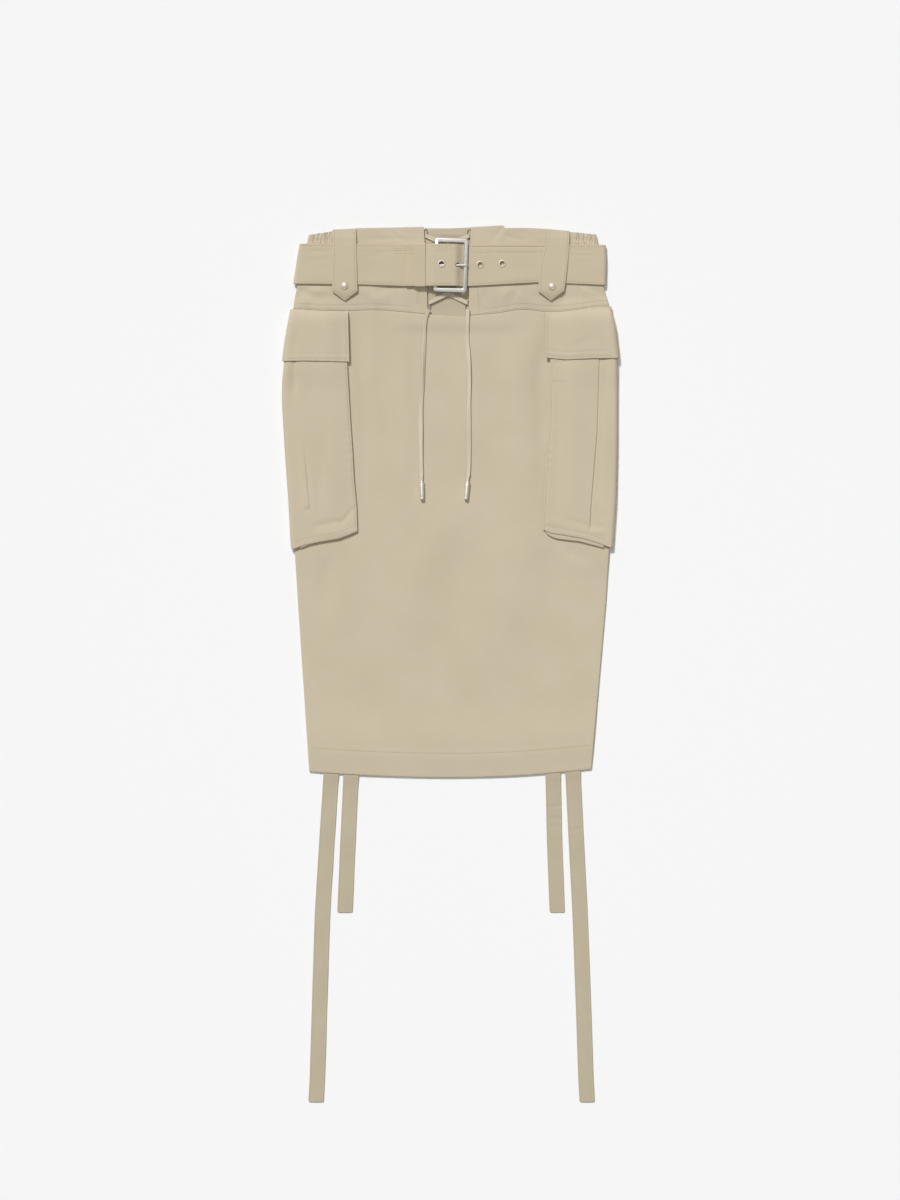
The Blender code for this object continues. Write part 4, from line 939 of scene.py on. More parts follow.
def belt_place(t, v):
    guess_x, _ = belt_path(t, np.full_like(t, 518.0))
    top = read(BELT_EDGES, "x", "top", guess_x, blur=8)
    bottom = read(BELT_EDGES, "x", "bottom", guess_x, blur=8)
    y = bottom + (top - bottom) * v
    x, z = belt_path(t, y)
    leg = np.floor(t)
    shown = np.where((leg == 0) | (leg == 4), 1.0, 0.0) * (1 - ease(0.9, 1.0, np.where(leg == 0, t, 0)))
    shown = shown * np.where(leg == 4, ease(0.0, 0.12, t - 4) * (1 - ease(-70, -60, x)), 1.0)
    from_top, from_bottom = top - y, y - bottom
    sewn = -0.22 * bell(from_top, 2.4, 1.0) - 0.22 * bell(from_bottom, 2.4, 1.0)
    ripple = 0.1 * np.sin(x * 0.55 + 1.5 * np.sin(x * 0.06)) * bell(from_top, 5, 5)
    sway = 0.25 * np.sin(x * 0.05 + 0.7) * np.sin(y * 0.06)
    rolled = -0.25 * (1 - ease(0, 1.6, np.minimum(from_top, from_bottom)))
    return x, y, z + shown * (ridges(BELT_CREASES, x, y) + sewn + ripple + sway + rolled)


def bore(piece, x, y, low, high, radius, stretch=1.0):
    """Cuts an upright round hole through a piece."""
    bpy.ops.object.select_all(action="DESELECT")
    middle = (x * MM, y * MM, (low + high) / 2 * MM)
    depth = (high - low) * MM
    bpy.ops.mesh.primitive_cylinder_add(vertices=36, radius=radius * MM, depth=depth, location=middle)
    cutter = bpy.context.object
    cutter.scale.x = stretch
    bpy.ops.object.transform_apply(location=True, rotation=True, scale=True)
    subtract(piece, cutter)


def subtract(piece, cutter):
    """Cuts one object out of another and removes the cutter."""
    hole = piece.modifiers.new("hole", "BOOLEAN")
    hole.operation = "DIFFERENCE"
    hole.object = cutter
    bpy.context.view_layer.objects.active = piece
    bpy.ops.object.modifier_apply(modifier=hole.name)
    bpy.data.objects.remove(cutter)


PRONG_Y = 516.0
PRONG_HOLE = 2.4
BAR_X = -18.5
SLOT_AHEAD = 1.75
SLOT_LENGTH = 14.5
SLOT_WIDTH = 5.2
EYELET_HOLE = 3.7
EyeletPlace = namedtuple("EyeletPlace", "x y")
EYELETS = (EyeletPlace(-11.9, 517.5), EyeletPlace(38.2, 517.2), EyeletPlace(66.8, 518.5))
belt = cloth(
    "belt_strap_cloth",
    spread(0, 150, 1, 10, 2, 60, 3, 10, 4, 90, 5, 12, 6, 24, 7),
    spread(0, 6, 0.1, 22, 0.9, 6, 1),
    belt_place,
    BELT_WALL,
)
prong_hole_x = STRAP_DIP_START + 4.2
bore(belt, prong_hole_x, PRONG_Y, BELT_FRONT_Z - 2, TIP_UNDER + 4, PRONG_HOLE, stretch=1.35)
for eyelet in EYELETS:
    eyelet_top = float(tip_under(eyelet.x)) + BELT_WALL
    bore(belt, eyelet.x, eyelet.y, eyelet_top - 4, eyelet_top + 2, EYELET_HOLE)
bpy.ops.object.select_all(action="DESELECT")
slot_z = (BELT_FRONT_Z + TIP_UNDER - 1.15) / 2
bpy.ops.mesh.primitive_cube_add(size=1, location=Vector((BAR_X + SLOT_AHEAD, PRONG_Y, slot_z)) * MM)
slot_cutter = bpy.context.object
slot_cutter.scale = Vector((SLOT_LENGTH, SLOT_WIDTH, TIP_UNDER - BELT_FRONT_Z + 0.85)) * MM
bpy.ops.object.transform_apply(location=True, rotation=True, scale=True)
subtract(belt, slot_cutter)
dress(belt, belt_twill, "belting", "belt_strap")

# Keeper
# A narrow band of the same cloth, sewn into a ring, which holds the belt's free end down.
KEEPER_X = -39.4
KEEPER_WIDTH = 13.7
KEEPER_WALL = 1.0


def keeper_place(t, v):
    top = float(read(BELT_EDGES, "x", "top", KEEPER_X, blur=8)) + GAP + KEEPER_WALL
    bottom = float(read(BELT_EDGES, "x", "bottom", KEEPER_X, blur=8)) - GAP - KEEPER_WALL
    low = BELT_FRONT_Z - GAP - KEEPER_WALL
    high = float(tip_under(KEEPER_X - KEEPER_WIDTH / 2)) + BELT_WALL + GAP + KEEPER_WALL
    corner = 1.5
    half_height, half_depth = (top - bottom) / 2 - corner, (high - low) / 2 - corner
    leg = np.floor(t).astype(int) % 8
    part = t - np.floor(t)
    angle = math.pi / 2 * part
    sin, cos = corner * np.sin(angle), corner * np.cos(angle)
    flat_y = half_height * (1 - 2 * part)
    flat_z = half_depth * (1 - 2 * part)
    ys = [flat_y, -half_height - sin, np.full_like(t, -half_height - corner), -half_height - cos]
    ys += [-flat_y, half_height + sin, np.full_like(t, half_height + corner), half_height + cos]
    zs = [np.full_like(t, half_depth + corner), half_depth + cos, flat_z, -half_depth - sin]
    zs += [np.full_like(t, -half_depth - corner), -half_depth - cos, -flat_z, half_depth + sin]
    crown = np.where(leg == 0, 0.12 * np.sin(t * 9) * np.sin(math.pi * part), 0.0)
    x = KEEPER_X + KEEPER_WIDTH * (v - 0.5)
    return x, (top + bottom) / 2 + np.choose(leg, ys), (low + high) / 2 + np.choose(leg, zs) + crown


keeper = cloth(
    "belt_keeper_cloth",
    spread(0, 40, 1, 4, 2, 6, 3, 4, 4, 20, 5, 4, 6, 6, 7, 4, 8),
    spread(0, 10, 1),
    keeper_place,
    KEEPER_WALL,
    edge=0.2,
    ring=True,
)
dress(keeper, belt_twill, "belting", "belt_keeper")

# Buckle
# A flat steel frame with round corners and a brushed face. Its left bar is hidden by the belt, and a short
# prong on that bar comes up through the belt and rests on the right bar.
BUCKLE_X = 0.3
BUCKLE_Y = 516.2
BUCKLE_WIDTH = 44.0
BUCKLE_HEIGHT = 70.0
BUCKLE_BAR = 5.5
BUCKLE_CORNER = 4.2
BUCKLE_TURN = -2.0
PRONG_RADIUS = 0.8
PRONG_TIP = 22.5


def build_metal_group():
    """Brushed metal: fine lines along one direction, a faint tarnish and a soft change of gloss."""
    group, given, result = new_group(
        "brushed_metal",
        [("Place", "NodeSocketVector", None), ("Lines", "NodeSocketVector", (1.0, 1.0, 1.0))],
        [("Line", "NodeSocketFloat"), ("Tarnish", "NodeSocketFloat")],
    )
    along = group.nodes.new("ShaderNodeVectorMath")
    along.operation = "MULTIPLY"
    group.links.new(given.outputs["Place"], along.inputs[0])
    group.links.new(given.outputs["Lines"], along.inputs[1])
    line = noise_node(group, along.outputs[0], 900.0, 4.0, 0.7)
    tarnish = noise_node(group, given.outputs["Place"], 140.0, 3.0, 0.6)
    group.links.new(line, result.inputs["Line"])
    group.links.new(tarnish, result.inputs["Tarnish"])
    return group


brushed_metal = build_metal_group()


def metal(name, bright, dull, roughness, lines, depth=0.00002):
    """A metal with brushed lines and a faint tarnish."""
    material = bpy.data.materials.new(name)
    material.use_nodes = True
    tree = material.node_tree
    shader = tree.nodes["Principled BSDF"]
    place = tree.nodes.new("ShaderNodeTexCoord")
    brushed = tree.nodes.new("ShaderNodeGroup")
    brushed.node_tree = brushed_metal
    brushed.inputs["Lines"].default_value = lines
    tree.links.new(place.outputs["Object"], brushed.inputs["Place"])
    blend = tree.nodes.new("ShaderNodeMix")
    blend.data_type = "RGBA"
    tarnish = math_node(tree, "MULTIPLY_ADD", brushed.outputs["Tarnish"], 1.6, -0.3, clamp=True)
    tree.links.new(tarnish, blend.inputs["Factor"])
    blend.inputs["A"].default_value = (*dull, 1)
    blend.inputs["B"].default_value = (*bright, 1)
    tree.links.new(blend.outputs["Result"], shader.inputs["Base Color"])
    gloss = math_node(tree, "MULTIPLY_ADD", brushed.outputs["Line"], 0.25, roughness - 0.12)
    tree.links.new(gloss, shader.inputs["Roughness"])
    bump = tree.nodes.new("ShaderNodeBump")
    bump.inputs["Strength"].default_value = 0.4
    bump.inputs["Distance"].default_value = depth
    tree.links.new(brushed.outputs["Line"], bump.inputs["Height"])
    tree.links.new(bump.outputs["Normal"], shader.inputs["Normal"])
    shader.inputs["Metallic"].default_value = 1.0
    return material


steel = metal("brushed_steel", (0.56, 0.55, 0.52), (0.45, 0.44, 0.41), 0.44, (1.0, 0.06, 1.0))
pale_steel = metal("pale_steel", (0.80, 0.72, 0.62), (0.68, 0.60, 0.50), 0.62, (1.0, 1.0, 0.2))
tip_steel = metal("tip_steel", (0.90, 0.87, 0.80), (0.82, 0.78, 0.70), 0.66, (1.0, 1.0, 0.2))
ring_steel = metal("ring_steel", (0.46, 0.42, 0.35), (0.36, 0.32, 0.26), 0.34, (1.0, 1.0, 0.2))


def rounded_block(name, width, height, thick, corner):
    """An upright block with round corners, centred on the origin."""
    bpy.ops.object.select_all(action="DESELECT")
    bpy.ops.mesh.primitive_cube_add(size=1)
    block = bpy.context.object
    block.name = name
    block.scale = (width * MM, height * MM, thick * MM)
    bpy.ops.object.transform_apply(location=False, rotation=False, scale=True)
    bpy.ops.object.mode_set(mode="EDIT")
    bpy.ops.mesh.select_mode(type="EDGE")
    bpy.ops.mesh.select_all(action="DESELECT")
    bpy.ops.object.mode_set(mode="OBJECT")
    for edge in block.data.edges:
        low, high = (block.data.vertices[index].co for index in edge.vertices)
        edge.select = abs(low.z - high.z) > thick * MM / 2
    bpy.ops.object.mode_set(mode="EDIT")
    bpy.ops.mesh.bevel(offset=corner * MM, segments=10, affect="EDGES")
    bpy.ops.mesh.select_mode(type="VERT")
    bpy.ops.object.mode_set(mode="OBJECT")
    return block


buckle = rounded_block("buckle_frame_steel", BUCKLE_WIDTH, BUCKLE_HEIGHT, BUCKLE_THICK, BUCKLE_CORNER)
window = rounded_block(
    "buckle_window", BUCKLE_WIDTH - 2 * BUCKLE_BAR, BUCKLE_HEIGHT - 2 * BUCKLE_BAR, BUCKLE_THICK * 3, 1.6
)
subtract(buckle, window)
soften_edges(buckle, 0.55, angle=60)
bpy.ops.object.shade_smooth_by_angle(angle=math.radians(50))
bar_middle = (BAR_LOW + BAR_HIGH) / 2
turn = Matrix.Rotation(math.radians(BUCKLE_TURN), 4, "Z")
buckle.data.transform(Matrix.Translation(Vector((BUCKLE_X, BUCKLE_Y, bar_middle)) * MM) @ turn)
dress(buckle, steel, "buckle", "buckle_frame")


def strip_along(name, path, widths, heights, ups, sides):
    """A solid strip along a path, with its own width, height and upward direction at each point."""
    path = np.array(path, float)
    ahead = np.gradient(path, axis=0)
    ahead /= np.linalg.norm(ahead, axis=1)[:, None]
    ups = np.broadcast_to(np.array(ups, float), path.shape)
    aside = np.cross(ahead, ups)
    aside /= np.linalg.norm(aside, axis=1)[:, None]
    ups = np.cross(aside, ahead)
    angles = 2 * math.pi * np.arange(sides) / sides
    across = np.sign(np.cos(angles)) * np.abs(np.cos(angles)) ** 0.55
    upward = np.sign(np.sin(angles)) * np.abs(np.sin(angles)) ** 0.55
    widths = np.broadcast_to(np.asarray(widths, float), len(path))[:, None, None]
    heights = np.broadcast_to(np.asarray(heights, float), len(path))[:, None, None]
    rings = path[:, None] + aside[:, None] * across[None, :, None] * widths / 2
    rings = rings + ups[:, None] * upward[None, :, None] * heights / 2
    faces = []
    for ring in range(len(path) - 1):
        for side in range(sides):
            after = (side + 1) % sides
            low = ring * sides
            faces.append((low + side, low + after, low + sides + after, low + sides + side))
    last = (len(path) - 1) * sides
    faces.append(tuple(range(sides))[::-1])
    faces.append(tuple(last + side for side in range(sides)))
    mesh = bpy.data.meshes.new(name)
    mesh.from_pydata([tuple(point) for point in rings.reshape(-1, 3) * MM], [], faces)
    strip = bpy.data.objects.new(name, mesh)
    bpy.context.scene.collection.objects.link(strip)
    runs = np.r_[0, np.linalg.norm(np.diff(path, axis=0), axis=1).cumsum()] * MM
    threads = mesh.uv_layers.new(name="UVMap")
    girth = float(widths.max() + heights.max()) * 2 * MM
    for loop, corner in enumerate(mesh.loops):
        ring, side = divmod(corner.vertex_index, sides)
        threads.data[loop].uv = (side / sides * girth, runs[ring])
    bpy.ops.object.select_all(action="DESELECT")
    bpy.context.view_layer.objects.active = strip
    strip.select_set(True)
    bpy.ops.object.mode_set(mode="EDIT")
    bpy.ops.mesh.select_all(action="SELECT")
    bpy.ops.mesh.normals_make_consistent(inside=False)
    bpy.ops.object.mode_set(mode="OBJECT")
    bpy.ops.object.shade_smooth_by_angle(angle=math.radians(60))
    return strip


prong_reach_x = BUCKLE_BAR / 2 + GAP + PRONG_RADIUS + 0.8
prong_reach_z = BUCKLE_THICK / 2 + GAP + PRONG_RADIUS
prong_path = []
for degrees in range(-60, -261, -10):
    angle = math.radians(degrees)
    reach_x = math.copysign(abs(math.cos(angle)) ** 0.6, math.cos(angle)) * prong_reach_x
    reach_z = math.copysign(abs(math.sin(angle)) ** 0.6, math.sin(angle)) * prong_reach_z
    prong_path.append((BAR_X + reach_x, PRONG_Y, bar_middle + reach_z))
prong_path += [(x, PRONG_Y, bar_middle + prong_reach_z) for x in np.linspace(BAR_X + 3, PRONG_TIP, 24)]
prong_taper = np.r_[np.full(len(prong_path) - 4, 1.0), 0.97, 0.92, 0.8, 0.55]
prong = strip_along(
    "buckle_prong_steel", prong_path, 2.9 * prong_taper, 1.6 * prong_taper, (0.0001, 0.0, 1.0), sides=16
)
dress(prong, steel, "buckle", "buckle_prong")

# Eyelets and snaps
# Pale metal eyelets are pressed into the belt's holes. A domed snap closes each pointed belt loop.
TINY = 0.001


def lathe(name, profile, place, steps=40, tilt=None):
    """A turned piece: a circle extruded from ring to ring of a profile of radius and height."""
    first_radius, first_height = profile[0]
    bpy.ops.object.select_all(action="DESELECT")
    bpy.ops.mesh.primitive_circle_add(vertices=steps, radius=max(first_radius, TINY) * MM)
    piece = bpy.context.object
    piece.name = name
    piece.data.transform(Matrix.Translation((0, 0, first_height * MM)))
    bpy.ops.object.mode_set(mode="EDIT")
    bpy.ops.mesh.select_all(action="SELECT")
    for (radius, height), (next_radius, next_height) in zip(profile, profile[1:]):
        rise = (next_height - height) * MM
        bpy.ops.mesh.extrude_region_move(TRANSFORM_OT_translate={"value": (0, 0, rise)})
        grow = max(next_radius, TINY) / max(radius, TINY)
        bpy.ops.transform.resize(value=(grow, grow, 1), center_override=(0, 0, next_height * MM))
    bpy.ops.mesh.select_all(action="SELECT")
    bpy.ops.mesh.remove_doubles(threshold=0.000004)
    bpy.ops.mesh.normals_make_consistent(inside=False)
    bpy.ops.object.mode_set(mode="OBJECT")
    if tilt is not None:
        piece.data.transform(tilt)
    piece.data.transform(Matrix.Translation(Vector([float(value) for value in place]) * MM))
    bpy.ops.object.shade_smooth_by_angle(angle=math.radians(38))
    return piece


eyelet_profile = [(3.3, 0.6), (3.45, 0.78), (3.9, 0.85), (4.4, 0.75), (4.8, 0.5)]
eyelet_profile += [(5.0, 0.2), (4.95, 0.1), (4.7, 0.05), (3.7, 0.05), (3.6, -0.2)]
eyelet_profile += [(3.6, -1.45), (3.35, -1.45), (3.25, 0.2), (3.3, 0.6)]
for number, eyelet in enumerate(EYELETS, 1):
    eyelet_top = float(tip_under(eyelet.x)) + BELT_WALL
    ring = lathe(f"belt_eyelet_{number}_metal", eyelet_profile, (eyelet.x, eyelet.y, eyelet_top + 0.05))
    dress(ring, pale_steel, "trim", f"belt_eyelet_{number}")

# Belt loops
# Two wide loops of doubled twill, sewn in at the waist, which cross the belt and end in a point below it.
LoopEdge = namedtuple("LoopEdge", "y left right")
LOOP_LEFT = (
    LoopEdge(564, -152.9, -122.5),
    LoopEdge(524, -153.2, -121.6),
    LoopEdge(483, -153.7, -120.4),
)
LOOP_RIGHT = table_of(
    LoopEdge,
    (562, 126.2, 154.3), (546, 124.0, 154.0), (525, 117.1, 152.4), (495, 113.8, 149.2),
    (483, 113.2, 147.0),
)
LOOP_TOP = {"left": (563.0, 564.2), "right": (563.4, 561.2)}
LOOP_ONTO_BELT = Zone(463, 488)
LOOP_OFF_BELT = Zone(546, 570)
LOOP_POINT_Y = 470.2
LOOP_CORNER_Y = 483.0
LOOP_Z = 9.4
LOOP_CREASES = {
    "left": (Fold(-150, 548, -126, 547, -0.4, 3.0), Fold(-137, 520, -136, 500, 0.3, 5.0)),
    "right": (Fold(150, 522, 148, 494, 0.5, 3.0), Fold(124, 548, 152, 549, -0.4, 3.0)),
}


def loop_place(side, table):
    def place(f, v):
        low = LOOP_POINT_Y + (LOOP_CORNER_Y - LOOP_POINT_Y) * np.abs(2 * f - 1)
        high = LOOP_TOP[side][0] + (LOOP_TOP[side][1] - LOOP_TOP[side][0]) * f
        y = low + (high - low) * v
        left, right = read(table, "y", "left", y, blur=4), read(table, "y", "right", y, blur=4)
        x = left + (right - left) * f
        over_belt = ease(*LOOP_ONTO_BELT, y) * (1 - ease(*LOOP_OFF_BELT, y))
        on_yoke = front_top(x, y) + LAYER_GAP
        from_edge = np.minimum(np.minimum(x - left, right - x), (y - low) * 0.94)
        sewn = -0.2 * bell(from_edge, 2.6, 1.0) - 0.3 * (1 - ease(0, 1.6, from_edge))
        lift = 0.35 * np.sin((y - 470) * 0.055) + ridges(LOOP_CREASES[side], x, y)
        return x, y, on_yoke + (LOOP_Z - on_yoke) * over_belt + WALL + sewn + lift * over_belt * 0.8

    return place


belt_loops = {}
for loop_side, loop_table in (("left", LOOP_LEFT), ("right", LOOP_RIGHT)):
    belt_loop = cloth(
        f"belt_loop_{loop_side}_cloth",
        spread(0, 28, 1),
        spread(0, 60, 1),
        loop_place(loop_side, loop_table),
        WALL,
    )
    dress(belt_loop, belt_twill, "belting", "belt_loop_" + loop_side)
    belt_loops[loop_side] = belt_loop

snap_profile = [(0, 1.75), (1.2, 1.72), (2.3, 1.5), (3.2, 1.1), (3.55, 0.85), (3.75, 0.85)]
snap_profile += [(4.05, 1.0), (4.4, 0.8), (4.6, 0.45), (4.6, 0.1), (4.4, 0.0), (0, 0.0)]
SnapPlace = namedtuple("SnapPlace", "x y")
SNAPS = {"left": SnapPlace(-137.3, 490.1), "right": SnapPlace(131.3, 489.2)}
for snap_side, snap in SNAPS.items():
    button = lathe(f"snap_{snap_side}_metal", snap_profile, (snap.x, snap.y, LOOP_Z + WALL + GAP + 0.2))
    dress(button, pale_steel, "trim", "snap_" + snap_side)

# Lacing
# Small oval wire rings are sewn down both edges of the gap, and a flat cotton lace crosses between them.
RING_ROWS = (558.3, 527.2, 496.1, 465.0)
RING_WIRE = 0.7
TORUS_THIN = 0.1
RING_HALF_WIDTH = 2.6
RING_HALF_HEIGHT = 5.8
RING_OUT = 1.5
TAPE_WALL = 1.0
STRAND_WIDTH = 6.2
STRAND_SHIFT = 3.0
lace_cotton = twill("lace_cotton", (0.67, 0.60, 0.46), (0.60, 0.53, 0.40), threads=1500.0, depth=0.0002)


def ring_x(side, y):
    out = RING_OUT if side == "left" else -RING_OUT
    return float(read(OPENING, "y", side, y)) + out


for ring_side in ("left", "right"):
    for number, row_y in enumerate(RING_ROWS, 1):
        bpy.ops.object.select_all(action="DESELECT")
        bpy.ops.mesh.primitive_torus_add(
            major_radius=1, minor_radius=TORUS_THIN, major_segments=40, minor_segments=10
        )
        wire = bpy.context.object
        wire.name = f"lacing_ring_{ring_side}_{number}_wire"
        centre_x = ring_x(ring_side, row_y)
        for vert in wire.data.vertices:
            around = math.atan2(vert.co.y, vert.co.x)
            out = (math.hypot(vert.co.x, vert.co.y) - 1) / TORUS_THIN * RING_WIRE
            normal = Vector((math.cos(around) / RING_HALF_WIDTH, math.sin(around) / RING_HALF_HEIGHT))
            normal.normalize()
            x = centre_x + RING_HALF_WIDTH * math.cos(around) + normal.x * out
            y = row_y + RING_HALF_HEIGHT * math.sin(around) + normal.y * out
            level = float(front_top(centre_x, y)) - WALL - GAP - RING_WIRE
            vert.co = Vector((x, y, level + vert.co.z / TORUS_THIN * RING_WIRE)) * MM
        bpy.ops.object.shade_smooth()
        dress(wire, ring_steel, "trim", f"lacing_ring_{ring_side}_{number}")

strand_number = 0
for upper_row, lower_row in zip(RING_ROWS, RING_ROWS[1:]):
    for start_side, end_side, dips in (("left", "right", True), ("right", "left", False)):
        strand_number += 1
        first = np.array((ring_x(start_side, upper_row), upper_row - STRAND_SHIFT))
        last = np.array((ring_x(end_side, lower_row), lower_row + STRAND_SHIFT))

        def strand_place(part, across, first=first, last=last, dips=dips):
            x = first[0] + (last[0] - first[0]) * part
            y = first[1] + (last[1] - first[1]) * part
            width = STRAND_WIDTH * (1 - 0.22 * np.abs(2 * part - 1) ** 3)
            y = y + across * width / 2
            crossing = np.sin(math.pi * np.clip(part, 0, 1)) ** 0.7
            level = np.where(dips, -(TAPE_WALL + 0.2), 0.3) * crossing
            cup = 0.18 * across**2 + 0.12 * np.sin(part * 9 + across)
            return x, y, front_top(x, y) - WALL + TAPE_WALL + level + cup

        parts = spread(0, 44, 1)
        strand = cloth(
            f"lace_strand_{strand_number}_tape",
            parts if start_side == "left" else parts[::-1],
            spread(-1, 8, 1),
            strand_place,
            TAPE_WALL,
            edge=0.3,
        )
        dress(strand, lace_cotton, "lace", f"lace_strand_{strand_number}")

# Lace ends
# The lace's two free ends hang down the front from the lowest rings, flat and lightly twisted, and each is
# clamped in a long metal tip.
CORD_RADIUS = 1.5
CORD_CLEAR = 0.8
CordPoint = namedtuple("CordPoint", "x y")
CORD_LEFT = table_of(
    CordPoint,
    (-28.6, 460.0), (-29.8, 455.0), (-32.6, 446.0), (-34.0, 432.0), (-34.6, 404.0), (-35.4, 371.0),
    (-38.6, 330.0), (-38.8, 295.0), (-38.2, 262.0), (-37.6, 237.0),
)
CORD_RIGHT = table_of(
    CordPoint,
    (22.4, 460.0), (22.2, 455.0), (22.0, 444.0), (21.6, 420.0), (23.6, 390.0), (24.4, 365.0),
    (23.6, 330.0), (24.0, 262.0), (22.0, 237.0),
)
CORD_STEP = 2.0
TIP_RADIUS = 2.85
TIP_LENGTH = 23.7
LACE_WIDTH = 5.2
LACE_THICK = 1.5
Twist = namedtuple("Twist", "down turn")
LACE_TWISTS = {
    "left": (Twist(0, 25), Twist(30, 10), Twist(80, 55), Twist(120, 15), Twist(170, -20), Twist(212, 0)),
    "right": (Twist(0, -25), Twist(40, 15), Twist(75, -50), Twist(110, -10), Twist(160, 20), Twist(214, 0)),
}
tip_profile = [(0, 0.0), (1.9, 0.0), (2.5, -0.2), (2.75, -0.7), (2.78, -2.2), (2.62, -2.6), (2.62, -3.0)]
tip_profile += [(2.8, -3.4), (TIP_RADIUS, -6), (TIP_RADIUS, -16), (2.75, -20.6), (2.62, -21.0)]
tip_profile += [(2.75, -21.4), (2.75, -22.9), (2.5, -23.5), (1.9, -TIP_LENGTH), (0, -TIP_LENGTH)]


def smooth_route(points):
    """Points every few millimetres along a smooth curve through the given ones."""
    places = [Vector((point.x, point.y)) for point in points]
    places = [2 * places[0] - places[1]] + places + [2 * places[-1] - places[-2]]
    route = []
    for before, start, end, after in zip(places, places[1:], places[2:], places[3:]):
        pieces = max(1, round((end - start).length / CORD_STEP))
        for piece in range(pieces):
            t = piece / pieces
            line = 2 * start + (end - before) * t
            curve = (2 * before - 5 * start + 4 * end - after) * t**2
            bend = (3 * start - before - 3 * end + after) * t**3
            route.append(0.5 * (line + curve + bend))
    return route + [places[-2]]


for lace_side, lace_points in (("left", CORD_LEFT), ("right", CORD_RIGHT)):
    route = smooth_route(lace_points)
    end = route[-1]
    lace_path = []
    for point in route:
        to_tip = 1 - float(ease(0, 14, (end - point).length))
        rise = CORD_CLEAR + CORD_RADIUS + (TIP_RADIUS - CORD_RADIUS) * to_tip
        lace_path.append((point.x, point.y, float(front_top(point.x, point.y)) + rise))
    downs = np.r_[0, np.linalg.norm(np.diff(np.array(lace_path), axis=0), axis=1).cumsum()]
    turns = np.radians(read(LACE_TWISTS[lace_side], "down", "turn", downs, blur=10))
    near_tip = ease(10, 2, downs[-1] - downs)
    lace_ups = np.stack((np.sin(turns), np.zeros_like(turns), np.cos(turns)), axis=-1)
    lace_widths = LACE_WIDTH * (1 - 0.35 * near_tip) * (1 - 0.12 * np.sin(downs * 0.07))
    lace = strip_along(f"lace_end_{lace_side}_tape", lace_path, lace_widths, LACE_THICK, lace_ups, sides=20)
    dress(lace, lace_cotton, "lace", "lace_end_" + lace_side)
    lean = math.atan2(route[-1].x - route[-3].x, route[-3].y - route[-1].y)
    tilt = Matrix.Rotation(lean, 4, "Z") @ Matrix.Rotation(math.radians(-90), 4, "X")
    tip_place = (end.x, end.y - GAP, lace_path[-1][2])
    tip = lathe(f"lace_tip_{lace_side}_metal", tip_profile, tip_place, steps=32, tilt=tilt)
    dress(tip, tip_steel, "trim", "lace_tip_" + lace_side)

# Hem straps
# Four flat twill tapes are sewn inside the back of the hem, two long and two short, with clipped ends.
STRAP_WIDTH = 20.0
STRAP_ROOT = -72.0
STRAP_CLIP = 1.8
STRAP_WALL = 1.1
StrapLine = namedtuple("StrapLine", "y left_long left_short right_short right_long")
STRAP_LINES = table_of(
    StrapLine,
    (-72, -150.0, -125.0, 131.4, 156.0), (-149, -155.5, -129.5, 133.1, 159.1),
    (-229, -160.7, -133.4, 134.8, 163.0), (-323, -166.5, -137.3, 138.4, 167.9),
    (-437, -170.1, -141.0, 142.0, 172.1), (-541, -173.2, -145.0, 146.0, 175.6),
    (-569, -175.0, -146.0, 147.0, 177.3),
)
STRAP_ENDS = {"left_long": -569.0, "left_short": -323.0, "right_short": -323.0, "right_long": -569.0}
STRAP_WRINKLES = {
    "left_long": (Fold(-170, -300, -154, -302, -0.3, 2.0),),
    "left_short": (Fold(-144, -240, -126, -238, -0.25, 2.5),),
    "right_short": table_of(
        Fold,
        (128, -186, 144, -184, -0.4, 2.0), (130, -200, 144, -202, -0.5, 1.8),
        (128, -212, 143, -211, -0.45, 2.0), (130, -232, 145, -230, -0.35, 2.4),
        (130, -252, 144, -255, -0.4, 2.0),
    ),
    "right_long": (Fold(156, -216, 172, -214, -0.35, 2.0), Fold(164, -420, 178, -424, -0.25, 3.0)),
}


def strap_place(name, end):
    def place(f, y):
        middle = read(STRAP_LINES, "y", name, y, blur=10)
        clip = STRAP_CLIP * ease(0.82, 1.0, np.abs(f)) * (1 - ease(end, end + 4, y))
        inside = ease(hem_y(middle) - 16, hem_y(middle) - 3, y)
        x = middle + f * STRAP_WIDTH / 2
        edges = 0.3 * bell(np.abs(f), 0.9, 0.1) - 0.2 * bell(np.abs(f), 0.76, 0.06)
        sway = 0.3 * (1 + np.sin(y * 0.043 + middle)) * (1 - f * f * 0.4)
        level = inside * (WALL + GAP + back_lift(x, y)) + STRAP_WALL
        low = edges + sway + ridges(STRAP_WRINKLES[name], x, y)
        return x, y + clip, level + np.maximum(low, 0.0) * (1 - inside)

    return place


for strap_name, strap_end in STRAP_ENDS.items():
    length = 180 if strap_end < -400 else 110
    strap = cloth(
        f"hem_strap_{strap_name}_tape",
        spread(-1, 5, -0.6, 8, 0.6, 5, 1),
        spread(strap_end, 6, strap_end + 6, length, -168, 20, STRAP_ROOT),
        strap_place(strap_name, strap_end),
        STRAP_WALL,
    )
    dress(strap, strap_twill, "tape", "hem_strap_" + strap_name)

# Stitching
# Cotton sewing thread in rows of short lockstitches, sunk into the cloth a little. Its colour is set darker
# than the cloth as painted shade of the sewn channel.
# Each row is drawn as a line on the front or the back, and its stitches are set down on the cloth under it.
# The thread's darker colour is painted shade of the channel that the stitches sink into.
sewing_thread_and_channel_shade = twill(
    "sewing_thread_and_channel_shade", (0.47, 0.40, 0.285), (0.42, 0.355, 0.25), threads=4200.0, depth=0.0001
)
STITCH_PITCH = 3.0
STITCH_LENGTH = 2.25
STITCH_WIDTH = 0.62
STITCH_SUNK = 0.12


def surface_of(*pieces):
    """A lookup of the faces of a few pieces, for setting stitches down on them."""
    spots = []
    faces = []
    for piece in pieces:
        start = len(spots)
        spots += [vertex.co.copy() for vertex in piece.data.vertices]
        faces += [[start + index for index in face.vertices] for face in piece.data.polygons]
    return BVHTree.FromPolygons(spots, faces)


